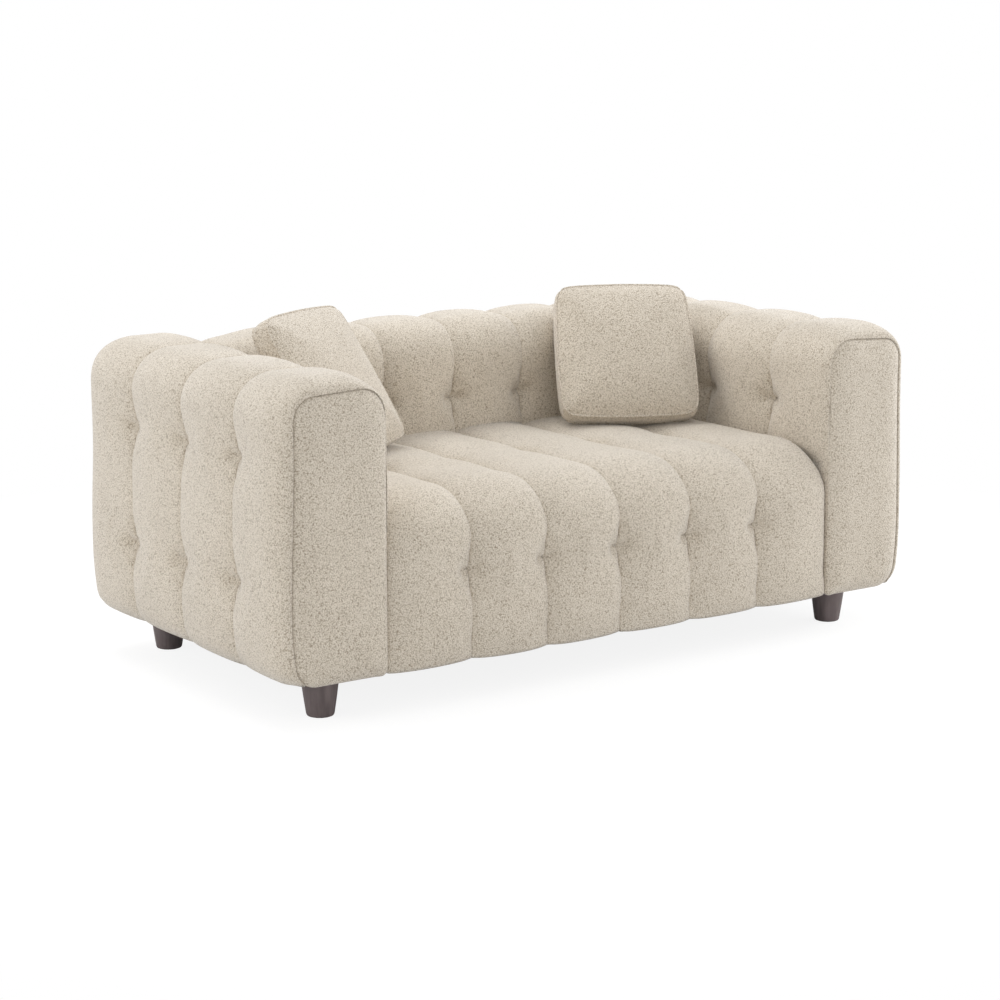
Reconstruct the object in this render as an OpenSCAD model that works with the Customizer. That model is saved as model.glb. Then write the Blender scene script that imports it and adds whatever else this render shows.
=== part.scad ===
// A two-seat tuxedo sofa: arms as high as the back, padded channels drawn in by tufts, four
// turned legs and two boxed scatter pillows. Millimetres, +Z up, front towards -Y, origin on
// the floor under the middle of the sofa. Left and right are as seen from the front.

/* [Overall size] */
// Width over the arm channels
sofa_w = 1686; // [1500:2:2000]
// Depth from the arm fronts to the rear channels
sofa_d = 900; // [860:10:980]
// Thickness of an arm over its channels
arm_t = 258; // [240:2:300]
// Height of the seat's crest above the floor
seat_h = 458; // [400:2:500]
// Height of the arms and the back above the seat's crest
back_rise = 256; // [240:2:340]
// Thickness of the back over its channels
back_t = 256; // [244:2:280]
// Height of the underside above the floor
underside_h = 90; // [76:2:100]

/* [Channels] */
// Channels across the seat, and across the back
seat_channel_count = 6; // [4:1:8]
// Channels along each arm
arm_channel_count = 4; // [4:1:5]
// How far a channel swells past the seams beside it
crown = 31; // [24:1:33]
// Padding under the seams
pad_t = 19; // [12:1:20]
// How far a tuft draws in the side of a channel
tuft_pinch = 15; // [6:1:20]
// How far a tuft lowers the crest of a channel
tuft_dip = 5; // [0:1:10]
// Length of a channel that a tuft draws in, each way
tuft_reach = 62; // [40:1:80]
// Crest radius over the top of the arms and the back
top_r = 100; // [80:1:110]
// Crest radius over the front edge of the seat
seat_front_r = 105; // [80:1:120]
// Crest radius where the seat's front rolls in towards its foot
seat_tuck_r = 143; // [110:1:160]
// Crest radius under the outer sides
bottom_r = 60; // [58:1:90]
// Crest radius where an arm's last channel meets the back
corner_r = 56; // [56:1:70]
// Share of the crown that a channel loses at the seam of an arm's end panel
end_drop_share = 0.75; // [0.3:0.05:0.9]

/* [Tufts] */
// Distance of the outer sides' upper tufts below the crest of the arms and the back
outer_high_tuft_drop = 178; // [150:1:200]
// Distance of the outer sides' lower tufts above the underside
outer_low_tuft_rise = 188; // [150:1:220]
// Distance of the inner sides' tufts below the crest of the arms and the back
inner_tuft_drop = 188; // [160:1:210]
// Distance of the seat's front tufts below the seat's crest
seat_front_tuft_drop = 176; // [150:1:190]
// Distance of the seat's top tufts behind its front crest
seat_top_tuft_y = 355; // [280:1:420]

/* [Arm end panels] */
// Thickness of the padded panel on each end of an arm
end_pad_t = 30; // [24:1:40]
// Corner radius at the top of the panel
end_pad_top_r = 64; // [40:1:90]
// Corner radius at the panel's foot, beside the seat
end_pad_foot_r = 14; // [5:1:30]
// How far the panel's face swells
end_pad_crown = 14; // [4:1:20]

/* [Frame] */
// Thickness of the frame boards
board_t = 22; // [18:1:25]
// Thickness of the plywood ribs
rib_t = 18; // [12:1:21]
// Thickness of the hardboard panels
panel_t = 5; // [3:0.5:8]
// Height of the seat's crest above the seat rails
seat_cushion_h = 158; // [150:1:180]
// Thickness of the rail that ties an arm to the seat
tie_rail_t = 27; // [20:1:32]
// Height of the rails along the top of the arms and the back
top_rail_h = 25; // [18:1:32]
// How far the cross rails stay below the seat rails' top
cross_rail_drop = 48; // [40:1:70]
// Diameter of the holes that lighten the ribs
light_hole_d = 78; // [40:1:90]
// Leg of the triangular blocks in the seat frame's corners
corner_block_w = 80; // [50:1:110]
// How far the corner blocks stay above the seat rails' foot
corner_block_lift = 68; // [20:1:90]

/* [Springs] */
// Diameter of the spring wire
wire_d = 4; // [3:0.1:5]
// Straight length across each loop of a spring
spring_bar = 32; // [26:1:45]
// Loops along a spring
spring_loops = 18; // [14:2:22]
// Rise of a spring at its middle
spring_rise = 28; // [10:1:34]
// Thickness of the spring clips' strap
clip_t = 2; // [1:0.1:3]
// Width of a spring clip
clip_w = 20; // [12:1:24]
// Thickness of the deck cloth over the springs
deck_t = 3; // [1:0.5:5]

/* [Legs] */
// Diameter of a leg at the floor
leg_foot_d = 59; // [40:1:70]
// Diameter of a leg at the top
leg_top_d = 82; // [60:1:90]
// Distance of the legs from the outer sides
leg_side_inset = 143; // [135:1:155]
// Distance of the legs from the arm fronts and the rear
leg_inset = 116; // [110:1:160]
// Rounding at a leg's foot
leg_foot_r = 3; // [1:0.5:6]
// Thread diameter of the leg bolts and the frame bolts
bolt_d = 8; // [6:1:10]

/* [Pillows] */
// Side of a pillow
pillow_w = 350; // [300:5:350]
// Thickness of a pillow at its middle
pillow_t = 112; // [90:1:112]
// Width of the boxed band round a pillow
pillow_band_w = 46; // [30:1:70]
// Turn of the pillows towards the middle of the seat
pillow_turn = 28; // [0:1:35]
// Lean of the pillows against the back
pillow_lean = 32; // [28:1:38]
// Distance of the left pillow's centre from the arm beside it
left_pillow_inset = 161; // [160:1:260]
// Distance of the right pillow's centre from the arm beside it
right_pillow_inset = 183; // [160:1:260]
// How far a pillow's rear corner reaches over the back
pillow_overhang = 59; // [30:1:59]

/* [Hidden] */

// Running clearance of bolts in their holes and of wire in its clips, on the radius
clearance = 0.2;
// Overrun of a cut past the face that it opens
overrun = 1;
// Steps round a true circle
round_steps = 48;

// Planes of the crests, the seams' base lines and the inner faces of the padding
skin_t = crown + pad_t;
sofa_h = seat_h + back_rise;
seat_w = sofa_w - 2 * arm_t;
arm_outer_x = sofa_w / 2;
arm_inner_x = seat_w / 2;
leg_x = arm_outer_x - leg_side_inset;
outer_high_tuft_h = sofa_h - outer_high_tuft_drop;
outer_low_tuft_h = underside_h + outer_low_tuft_rise;
inner_tuft_h = sofa_h - inner_tuft_drop;
seat_front_tuft_h = seat_h - seat_front_tuft_drop;
rail_top_h = seat_h - seat_cushion_h;
front_y = -sofa_d / 2;
rear_y = sofa_d / 2;
back_front_y = rear_y - back_t;
seat_front_y = front_y;
seat_base_z = seat_h - crown;
seat_pitch = seat_w / seat_channel_count;
arm_pitch = sofa_d / arm_channel_count;
arm_box_outer_x = arm_outer_x - skin_t;
arm_box_inner_x = arm_inner_x + skin_t;
arm_box_y = sofa_d / 2 - end_pad_t;
back_box_front_y = back_front_y + skin_t;
back_box_rear_y = rear_y - skin_t;
box_top_z = sofa_h - skin_t;
box_top_r = top_r - skin_t;
box_foot_r = bottom_r - skin_t;
// Height where the straight outer sides end and the bottom curve starts
side_foot_z = underside_h + bottom_r;
side_top_z = sofa_h - top_r;

// Dust cover, and the frame that stands on its plane
dust_cover_t = 2;
frame_z = underside_h + dust_cover_t;
board_top_z = frame_z + board_t;
// Gap between the rounded padding's end and the boards beside it
foot_gap = 3;
arm_board_outer_x = arm_outer_x - bottom_r - foot_gap;
back_board_rear_y = rear_y - bottom_r - foot_gap;
// How far the back's frame stays under its padding
back_top_gap = 11;

// The seat's front rolls in a little towards its foot
tuck_angle = 20;
tuck_depth = seat_tuck_r * (1 - cos(tuck_angle));
seat_start_z = underside_h + crown * sin(tuck_angle);
tuck_top_z = seat_start_z + seat_tuck_r * sin(tuck_angle);

// Gap between the padding of the seat and what it lies against
padding_gap = 0.5;
seat_rail_front_y = seat_front_y + skin_t + tuck_depth + padding_gap;

// Steps round a channel's section, and the power that fills its shoulders
section_steps = 6;
shoulder_share = 0.82;

// A run of a path is its length, the angle it turns through and its steps.
function bend(r, angle, steps) = [r * angle * PI / 180, angle, steps];
function run_start(path, i) = i == 0 ? 0 : path[i - 1][0] + run_start(path, i - 1);

// Place and heading after a distance along a path, as [across, up, heading]
function along(path, s, x, z, a, i = 0) =
    let (l = min(s, path[i][0]), turn = path[i][1] * l / path[i][0])
    let (r = turn == 0 ? 0 : l * 180 / PI / turn)
    let (next_x = turn == 0 ? x + l * cos(a) : x + r * (sin(a + turn) - sin(a)))
    let (next_z = turn == 0 ? z + l * sin(a) : z - r * (cos(a + turn) - cos(a)))
    s <= path[i][0] || i == len(path) - 1
        ? [next_x, next_z, a + turn]
        : along(path, s - path[i][0], next_x, next_z, a + turn, i + 1);

function stations(path) = [
    0,
    for (i = [0:len(path) - 1])
        for (k = [1:path[i][2]])
            run_start(path, i) + path[i][0] * k / path[i][2]
];

// How strongly the nearest tuft draws the channel in, from 0 to 1
function draw_in(s, tufts) = max([
    0,
    for (t = tufts) abs(s - t) < tuft_reach ? pow(cos(90 * (s - t) / tuft_reach), 2) : 0
]);

// A channel: a padded D section swept along a path in the XZ plane, its width along Y. The
// path is the base line of the seams, the crown swells to the right of its heading. Sides
// are [tufted, share of the crown lost at the edge] for the low and the high Y side.
// A mitre of 1 cuts an end at 45 degrees, so that two channels meet in a corner.
module channel(path, x, z, heading, width, tufts, sides, start_mitre = 0, end_mitre = 0) {
    places = stations(path);
    count = len(places);
    ring = section_steps + 3;
    points = [
        for (i = [0:count - 1])
            let (s = places[i], at = along(path, s, x, z, heading), pull = draw_in(s, tufts))
            let (out = [sin(at[2]), -cos(at[2])], on = [cos(at[2]), sin(at[2])])
            let (mitre = (i == 0 ? start_mitre : 0) - (i == count - 1 ? end_mitre : 0))
            for (j = [0:ring - 1])
                let (t = 180 * min(j, section_steps) / section_steps)
                let (side = j > section_steps ? (j == section_steps + 1 ? 1 : -1) : -cos(t))
                let (edge = sides[side < 0 ? 0 : 1])
                let (half = width / 2 - (j > section_steps ? 0 : edge[0] * tuft_pinch * pull))
                let (fall = edge[1] * (1 - pow(max(0, sin(t)), shoulder_share)))
                let (lift = j > section_steps ? -pad_t : (crown - tuft_dip * pull) * (1 - fall))
                [
                    at[0] + out[0] * lift + on[0] * mitre * lift,
                    side * half,
                    at[1] + out[1] * lift + on[1] * mitre * lift
                ]
    ];
    walls = [
        for (i = [0:count - 2])
            for (j = [0:ring - 1])
                let (a = i * ring + j, b = i * ring + (j + 1) % ring)
                each [[a, b + ring, b], [a, a + ring, b + ring]]
    ];
    last = (count - 1) * ring;
    caps = [
        for (j = [1:ring - 2])
            each [[0, j, j + 1], [last, last + j + 1, last + j]]
    ];
    polyhedron(points, concat(walls, caps));
}

// Paths of the channels, from the seams' base lines
top_bend = bend(top_r - crown, 90, 3);
foot_bend = bend(bottom_r - crown, 90, 3);
inner_start_z = seat_base_z - pad_t;
outer_runs = [
    [side_top_z - outer_high_tuft_h, 0, 2],
    [outer_high_tuft_h - outer_low_tuft_h, 0, 4],
    [outer_low_tuft_h - side_foot_z, 0, 2],
    foot_bend
];
arm_path = concat(
    [[inner_tuft_h - inner_start_z, 0, 2], [side_top_z - inner_tuft_h, 0, 2], top_bend],
    [[arm_t - 2 * top_r, 0, 1], top_bend],
    outer_runs
);
arm_corner_path = concat(
    [bend(corner_r - crown, 90, 2), [arm_t - top_r - corner_r, 0, 2], top_bend],
    outer_runs
);
back_path = concat(
    [[inner_tuft_h - seat_base_z, 0, 2], [side_top_z - inner_tuft_h, 0, 2], top_bend],
    [[back_t - 2 * top_r, 0, 1], top_bend],
    outer_runs
);
seat_path = [
    bend(seat_tuck_r, tuck_angle, 1),
    [seat_front_tuft_h - tuck_top_z, 0, 3],
    [seat_h - seat_front_r - seat_front_tuft_h, 0, 2],
    bend(seat_front_r - crown, 90, 4),
    [seat_top_tuft_y - seat_front_r, 0, 3],
    [back_front_y + crown - seat_front_y - seat_top_tuft_y, 0, 3]
];
arm_tufts = [run_start(arm_path, 1), run_start(arm_path, 6), run_start(arm_path, 7)];
arm_corner_tufts = [run_start(arm_corner_path, 4), run_start(arm_corner_path, 5)];
back_tufts = [run_start(back_path, 1), run_start(back_path, 6), run_start(back_path, 7)];
seat_tufts = [run_start(seat_path, 2), run_start(seat_path, 5)];

function seam_side(tufted) = [tufted ? 1 : 0, 1];

module seat_channel(i) {
    color("antiquewhite")
        translate([seat_pitch * (i - 0.5) - arm_inner_x, 0, 0])
            rotate([0, 0, -90])
                channel(seat_path, -seat_front_y - crown - tuck_depth, seat_start_z, 90 - tuck_angle,
                    seat_pitch, seat_tufts,
                    [seam_side(i > 1), seam_side(i < seat_channel_count)], end_mitre = 1);
}

module back_channel(i) {
    color("antiquewhite")
        translate([seat_pitch * (i - 0.5) - arm_inner_x, 0, 0])
            rotate([0, 0, -90])
                channel(back_path, -back_front_y - crown, seat_base_z, 90,
                    seat_pitch, back_tufts,
                    [seam_side(i > 1), seam_side(i < seat_channel_count)], start_mitre = 1);
}

// Channels of the left arm, counted from the front; the first and the last end at the pads
module arm_channel(i) {
    first = i == 1;
    last = i == arm_channel_count;
    low_y = front_y + arm_pitch * (i - 1) + (first ? end_pad_t : 0);
    high_y = front_y + arm_pitch * i - (last ? end_pad_t : 0);
    sides = [first ? [0, end_drop_share] : seam_side(true), last ? [0, end_drop_share] : seam_side(true)];
    color("antiquewhite")
        translate([0, (low_y + high_y) / 2, 0])
            if (last) {
                channel(arm_corner_path, -arm_inner_x - crown, sofa_h - corner_r, 90,
                    high_y - low_y, arm_corner_tufts, sides);
            } else {
                channel(arm_path, -arm_inner_x - crown, inner_start_z, 90,
                    high_y - low_y, arm_tufts, sides);
            }
}

// Outline of an arm's end panel, drawn in from its edge, as [x, z] points
corner_steps = 4;
function corner_arc(x, z, r, start) = [
    for (k = [0:corner_steps])
        [x + r * cos(start + 90 * k / corner_steps), z + r * sin(start + 90 * k / corner_steps)]
];
function pad_outline(inset) =
    let (edge = crown * end_drop_share)
    let (outer_x = -arm_outer_x + edge + inset, inner_x = -arm_inner_x - inset)
    let (top_z = sofa_h - edge - inset, foot_z = underside_h + inset)
    let (top = end_pad_top_r - inset, foot = max(bottom_r - edge - inset, end_pad_foot_r / 2))
    let (heel = max(end_pad_foot_r - inset, end_pad_foot_r / 2))
    concat(
        corner_arc(inner_x - heel, foot_z + heel, heel, -90),
        corner_arc(inner_x - top, top_z - top, top, 0),
        corner_arc(outer_x + top, top_z - top, top, 90),
        corner_arc(outer_x + foot, foot_z + foot, foot, 180)
    );

// Shares of the swell, and of its height, at which the panel's rings lie
pad_inset_shares = [0, 0, 0.55, 2.2];
pad_height_shares = [0, 0, 0.58, 0.9];

module end_pad() {
    rings = len(pad_inset_shares);
    count = 4 * (corner_steps + 1);
    seam_y = front_y + end_pad_crown;
    points = concat(
        [
            for (r = [0:rings - 1])
                for (p = pad_outline(pad_inset_shares[r] * end_pad_crown))
                    [p[0], r == 0 ? front_y + end_pad_t : seam_y - pad_height_shares[r] * end_pad_crown, p[1]]
        ],
        [[-(arm_outer_x + arm_inner_x) / 2, front_y, (sofa_h + underside_h) / 2]]
    );
    walls = [
        for (r = [0:rings - 2])
            for (k = [0:count - 1])
                let (a = r * count + k, b = r * count + (k + 1) % count)
                each [[a, b + count, b], [a, a + count, b + count]]
    ];
    face = (rings - 1) * count;
    front = [for (k = [0:count - 1]) [face + k, rings * count, face + (k + 1) % count]];
    rear = [for (k = [1:count - 2]) [0, k, k + 1]];
    polyhedron(points, concat(walls, front, rear));
}

module arm_end_pads() {
    color("antiquewhite") {
        end_pad();
        mirror([0, 1, 0])
            end_pad();
    }
}

// Section of an arm's frame in the XZ plane, seen from the front on the left arm
module arm_rib_outline() {
    outer_x = -arm_box_outer_x + panel_t;
    inner_x = -arm_box_inner_x - panel_t;
    corner = box_top_r - panel_t;
    foot = box_foot_r - panel_t;
    shoulder_z = side_top_z;
    difference() {
        union() {
            translate([outer_x, side_foot_z])
                square([inner_x - outer_x, shoulder_z - side_foot_z]);
            translate([outer_x + corner, shoulder_z])
                square([inner_x - outer_x - 2 * corner, corner]);
            for (x = [outer_x + corner, inner_x - corner])
                translate([x, shoulder_z])
                    circle(r = corner, $fn = round_steps);
            translate([outer_x + foot, side_foot_z])
                circle(r = foot, $fn = round_steps);
            translate([-arm_board_outer_x, board_top_z])
                square([arm_board_outer_x + inner_x, side_foot_z - board_top_z]);
        }
        translate([-arm_box_inner_x - tie_rail_t, 0])
            square([2 * tie_rail_t, rail_top_h + board_t]);
        translate([arm_middle_x - top_rail_w / 2, box_top_z - top_rail_h])
            square([top_rail_w, top_rail_h + overrun]);
        for (z = [side_foot_z + light_hole_d, side_top_z - light_hole_d])
            translate([arm_middle_x, z])
                circle(d = light_hole_d, $fn = round_steps);
    }
}

arm_middle_x = -(arm_box_outer_x + arm_box_inner_x) / 2;
top_rail_w = arm_box_outer_x - arm_box_inner_x - 2 * box_top_r;
back_rail_w = back_box_rear_y - back_box_front_y - 2 * box_top_r;
back_middle_y = (back_box_front_y + back_box_rear_y) / 2;
back_top_z = box_top_z - back_top_gap;
tie_rail_top_z = rail_top_h + board_t;

// A board set upright along Y, from one end to the other, centred on the sofa
module long_board(x, z, size_x, size_z, half_y) {
    translate([x, -half_y, z])
        cube([size_x, 2 * half_y, size_z]);
}

module arm_ribs() {
    color("burlywood")
        for (y = [-arm_box_y + rib_t, rib_t / 2, arm_box_y])
            translate([0, y, 0])
                rotate([90, 0, 0])
                    linear_extrude(rib_t)
                        arm_rib_outline();
}

module arm_base_board() {
    color("burlywood")
        difference() {
            long_board(-arm_board_outer_x, frame_z, arm_board_outer_x - arm_box_inner_x, board_t, arm_box_y);
            for (y = leg_ys)
                translate([-leg_x, y, frame_z - overrun])
                    cylinder(d = nut_barrel_d + 2 * clearance, h = board_t + 2 * overrun, $fn = round_steps);
        }
}

module arm_tie_rail() {
    color("burlywood")
        difference() {
            long_board(-arm_box_inner_x - tie_rail_t, board_top_z, tie_rail_t, tie_rail_top_z - board_top_z,
                arm_box_y);
            frame_bolt_holes();
        }
}

module arm_top_rail() {
    color("burlywood")
        long_board(arm_middle_x - top_rail_w / 2, box_top_z - top_rail_h, top_rail_w, top_rail_h, arm_box_y);
}

module arm_outer_panel() {
    color("peru")
        long_board(-arm_box_outer_x, side_foot_z, panel_t, side_top_z - side_foot_z, arm_box_y);
}

module arm_inner_panel() {
    color("peru")
        long_board(-arm_box_inner_x - panel_t, tie_rail_top_z, panel_t, side_top_z - tie_rail_top_z,
            arm_box_y);
}

// Section of the back's frame in the YZ plane
module back_rib_outline() {
    front = back_box_front_y + panel_t;
    rear = back_box_rear_y - panel_t;
    corner = box_top_r - panel_t;
    foot = box_foot_r - panel_t;
    shoulder_z = back_top_z - corner;
    difference() {
        union() {
            translate([front, side_foot_z])
                square([rear - front, shoulder_z - side_foot_z]);
            translate([front + corner, shoulder_z])
                square([rear - front - 2 * corner, corner]);
            for (y = [front + corner, rear - corner])
                translate([y, shoulder_z])
                    circle(r = corner, $fn = round_steps);
            translate([rear - foot, side_foot_z])
                circle(r = foot, $fn = round_steps);
            translate([back_box_front_y, board_top_z])
                square([back_board_rear_y - back_box_front_y, side_foot_z - board_top_z]);
            translate([back_box_front_y, board_top_z])
                square([2 * panel_t, rail_top_h - board_top_z]);
        }
        translate([back_middle_y - back_rail_w / 2, back_top_z - top_rail_h])
            square([back_rail_w, top_rail_h + overrun]);
        for (z = [side_foot_z + light_hole_d, side_top_z - light_hole_d])
            translate([back_middle_y, z])
                circle(d = light_hole_d, $fn = round_steps);
    }
}

// Middles of the back's ribs: one against each arm and two over the cross rails
cross_rail_x = seat_pitch;
back_rib_xs = [-arm_box_inner_x + rib_t / 2, -cross_rail_x, cross_rail_x, arm_box_inner_x - rib_t / 2];

module back_ribs() {
    color("burlywood")
        for (x = back_rib_xs)
            translate([x - rib_t / 2, 0, 0])
                rotate([90, 0, 90])
                    linear_extrude(rib_t)
                        back_rib_outline();
}

// A board between the arms, from one height and depth to another
module cross_board(y, z, size_y, size_z, half_x) {
    translate([-half_x, y, z])
        cube([2 * half_x, size_y, size_z]);
}

module back_base_board() {
    color("burlywood")
        cross_board(back_box_front_y, frame_z, back_board_rear_y - back_box_front_y, board_t,
            arm_box_inner_x);
}

module back_top_rail() {
    color("burlywood")
        cross_board(back_middle_y - back_rail_w / 2, back_top_z - top_rail_h, back_rail_w, top_rail_h,
            arm_box_inner_x);
}

module back_front_panel() {
    color("peru")
        cross_board(back_box_front_y, rail_top_h, panel_t, side_top_z - rail_top_h, arm_box_inner_x);
}

module back_rear_panel() {
    color("peru")
        cross_board(back_box_rear_y - panel_t, side_foot_z, panel_t, side_top_z - side_foot_z,
            arm_box_inner_x);
}

// Seat frame
seat_rail_rear_y = back_box_front_y - board_t;
seat_rail_h = rail_top_h - frame_z;
seat_side_in_x = arm_box_inner_x - board_t;
cross_rail_h = seat_rail_h - cross_rail_drop;
cross_hole_share = 0.48;
corner_block_h = seat_rail_h - corner_block_lift;

module seat_front_rail() {
    color("burlywood")
        cross_board(seat_rail_front_y, frame_z, board_t, seat_rail_h, arm_box_inner_x);
}

module seat_rear_rail() {
    color("burlywood")
        cross_board(seat_rail_rear_y, frame_z, board_t, seat_rail_h, seat_side_in_x);
}

module seat_left_rail() {
    color("burlywood")
        difference() {
            translate([-arm_box_inner_x, seat_rail_front_y + board_t, frame_z])
                cube([board_t, back_box_front_y - seat_rail_front_y - board_t, seat_rail_h]);
            frame_bolt_holes();
        }
}

module seat_cross_rails() {
    inner_l = seat_rail_rear_y - seat_rail_front_y - board_t;
    color("burlywood")
        for (side = [-1, 1])
            translate([side * cross_rail_x - board_t / 2, seat_rail_front_y + board_t, frame_z])
                difference() {
                    cube([board_t, inner_l, cross_rail_h]);
                    for (k = [1:3])
                        translate([-overrun, inner_l * k / 4, cross_rail_h / 2])
                            rotate([0, 90, 0])
                                cylinder(d = cross_rail_h * cross_hole_share, h = board_t + 2 * overrun,
                                    $fn = round_steps);
                }
}

module corner_blocks() {
    color("burlywood")
        for (side = [-1, 1])
            for (place = [[seat_rail_front_y + board_t, 1], [seat_rail_rear_y, -1]])
                translate([side * seat_side_in_x, place[0], rail_top_h - corner_block_h])
                    linear_extrude(corner_block_h)
                        polygon([
                            [0, 0],
                            [-side * corner_block_w, 0],
                            [0, place[1] * corner_block_w]
                        ]);
}

// Springs: a wire that runs to and fro along an arc, its bars joined by half turns
clip_in_r = wire_d / 2 + clearance;
clip_out_r = clip_in_r + clip_t;
spring_z = rail_top_h + clip_out_r;
spring_front_y = seat_rail_front_y + board_t / 2;
spring_rear_y = seat_rail_rear_y + board_t / 2;
spring_span = spring_rear_y - spring_front_y;
spring_mid_y = (spring_front_y + spring_rear_y) / 2;
spring_r = (spring_span * spring_span / 4 + spring_rise * spring_rise) / (2 * spring_rise);
spring_axis_z = spring_z + spring_rise - spring_r;
spring_sweep = 2 * asin(spring_span / 2 / spring_r);
spring_step = spring_sweep / spring_loops;
loop_r = spring_r * sin(spring_step / 2);
loop_steps = 4;
wire_sides = 6;
function spring_angle(i) = spring_step * i - spring_sweep / 2;

// Centre and heading of the wire at a step of a half turn, the heading across the seat first
function wire_at(i, k) =
    let (side = i % 2 == 0 ? 1 : -1, middle = spring_angle(i + 0.5), t = 180 * k / loop_steps)
    let (reach = spring_r * cos(spring_step / 2))
    [
        [
            side * (spring_bar / 2 + loop_r * sin(t)),
            spring_mid_y + reach * sin(middle) - loop_r * cos(t) * cos(middle),
            spring_axis_z + reach * cos(middle) + loop_r * cos(t) * sin(middle)
        ],
        [side * cos(t), sin(t) * cos(middle), -sin(t) * sin(middle)],
        [0, sin(middle), cos(middle)]
    ];
function wire_end(at, away) = [at[0] + [away, 0, 0], at[1], at[2]];

module spring() {
    turns = [for (i = [0:spring_loops - 1]) for (k = [0:loop_steps]) wire_at(i, k)];
    last = turns[len(turns) - 1];
    first_side = turns[0][1][0];
    last_side = last[1][0];
    run = concat(
        [wire_end(turns[0], -first_side * spring_bar)],
        turns,
        [wire_end(last, last_side * spring_bar)]
    );
    points = [
        for (at = run)
            let (across = cross(at[1], at[2]))
            for (k = [0:wire_sides - 1])
                let (t = 360 * k / wire_sides)
                at[0] + wire_d / 2 * (cos(t) * at[2] + sin(t) * across)
    ];
    walls = [
        for (i = [0:len(run) - 2])
            for (k = [0:wire_sides - 1])
                let (a = i * wire_sides + k, b = i * wire_sides + (k + 1) % wire_sides)
                each [[a, b + wire_sides, b], [a, a + wire_sides, b + wire_sides]]
    ];
    end = (len(run) - 1) * wire_sides;
    caps = [for (k = [1:wire_sides - 2]) each [[0, k, k + 1], [end, end + k + 1, end + k]]];
    polyhedron(points, concat(walls, caps));
}

module seat_springs() {
    color("silver")
        for (i = [1:seat_channel_count])
            translate([seat_pitch * (i - 0.5) - arm_inner_x, 0, 0])
                spring();
}

module spring_clip() {
    rotate([90, 0, 90])
        linear_extrude(clip_w, center = true)
            difference() {
                union() {
                    circle(r = clip_out_r, $fn = round_steps);
                    translate([-board_t / 2, -clip_out_r])
                        square([board_t, clip_t]);
                }
                circle(r = clip_in_r, $fn = round_steps);
                translate([-wire_d / 4, 0])
                    square([wire_d / 2, 2 * clip_out_r]);
            }
}

module spring_clips() {
    color("dimgray")
        for (i = [1:seat_channel_count])
            for (y = [spring_front_y, spring_rear_y])
                translate([seat_pitch * (i - 0.5) - arm_inner_x, y, spring_z])
                    spring_clip();
}

// Deck cloth and foam core follow the springs' arc
deck_r = spring_r + clip_out_r + clearance;

module arc_bar(r) {
    translate([0, spring_mid_y, spring_axis_z])
        rotate([0, 90, 0])
            cylinder(r = r, h = seat_w + 2 * overrun, center = true, $fn = 4 * round_steps);
}

module seat_block() {
    corner = seat_front_r - skin_t;
    top_z = seat_base_z - pad_t - padding_gap;
    rotate([90, 0, 90])
        linear_extrude(seat_w, center = true)
            union() {
                translate([seat_rail_front_y, rail_top_h])
                    square([back_box_front_y - seat_rail_front_y, top_z - corner - rail_top_h]);
                translate([seat_rail_front_y + corner, rail_top_h])
                    square([back_box_front_y - seat_rail_front_y - corner, top_z - rail_top_h]);
                translate([seat_rail_front_y + corner, top_z - corner])
                    circle(r = corner, $fn = round_steps);
            }
}

module deck_cloth() {
    color("tan")
        intersection() {
            seat_block();
            difference() {
                arc_bar(deck_r + deck_t);
                arc_bar(deck_r);
            }
        }
}

module seat_core() {
    color("lightyellow")
        difference() {
            seat_block();
            arc_bar(deck_r + deck_t);
        }
}

// Legs, their bolts and the nuts in the arms' base boards
leg_ys = [front_y + leg_inset, rear_y - leg_inset];
leg_xs = [-leg_x, leg_x];
bolt_in_leg = 34;
bolt_past_nut = 4;
nut_barrel_d = bolt_d + 3;
nut_barrel_h = 9;
nut_flange_d = 3 * bolt_d;
nut_flange_t = 1.6;

module leg(x, y) {
    color("dimgray")
        translate([x, y, 0])
            difference() {
                rotate_extrude($fn = 2 * round_steps)
                    polygon([
                        [0, 0],
                        [leg_foot_d / 2 - leg_foot_r, 0],
                        [leg_foot_d / 2, leg_foot_r],
                        [leg_top_d / 2, frame_z],
                        [0, frame_z]
                    ]);
                translate([0, 0, frame_z - bolt_in_leg - clearance])
                    cylinder(d = bolt_d + 2 * clearance, h = bolt_in_leg + overrun, $fn = round_steps);
            }
}

module leg_bolts() {
    color("silver")
        for (x = leg_xs)
            for (y = leg_ys)
                translate([x, y, frame_z - bolt_in_leg])
                    cylinder(d = bolt_d, h = bolt_in_leg + board_t + bolt_past_nut, $fn = round_steps);
}

module leg_nuts() {
    color("silver")
        for (x = leg_xs)
            for (y = leg_ys)
                translate([x, y, 0])
                    difference() {
                        union() {
                            translate([0, 0, board_top_z])
                                cylinder(d = nut_flange_d, h = nut_flange_t, $fn = round_steps);
                            translate([0, 0, board_top_z - nut_barrel_h])
                                cylinder(d = nut_barrel_d, h = nut_barrel_h, $fn = round_steps);
                        }
                        translate([0, 0, board_top_z - nut_barrel_h - overrun])
                            cylinder(d = bolt_d + 2 * clearance,
                                h = nut_barrel_h + nut_flange_t + 2 * overrun, $fn = round_steps);
                    }
}

// Bolts that tie the arms to the seat's side rails, halfway between the corner blocks and the
// arms' middle rib, with a round nut on the far end
frame_bolt_ys = [
    (seat_rail_front_y + board_t + corner_block_w - rib_t / 2) / 2,
    (seat_rail_rear_y - corner_block_w + rib_t / 2) / 2
];
frame_bolt_z = frame_z + seat_rail_h / 2;
bolt_head_d = 2.2 * bolt_d;
bolt_head_h = 5;

module frame_bolt_holes() {
    for (y = frame_bolt_ys)
        translate([-seat_side_in_x + overrun, y, frame_bolt_z])
            rotate([0, -90, 0])
                cylinder(d = bolt_d + 2 * clearance, h = board_t + tie_rail_t + 2 * overrun,
                    $fn = round_steps);
}

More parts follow.
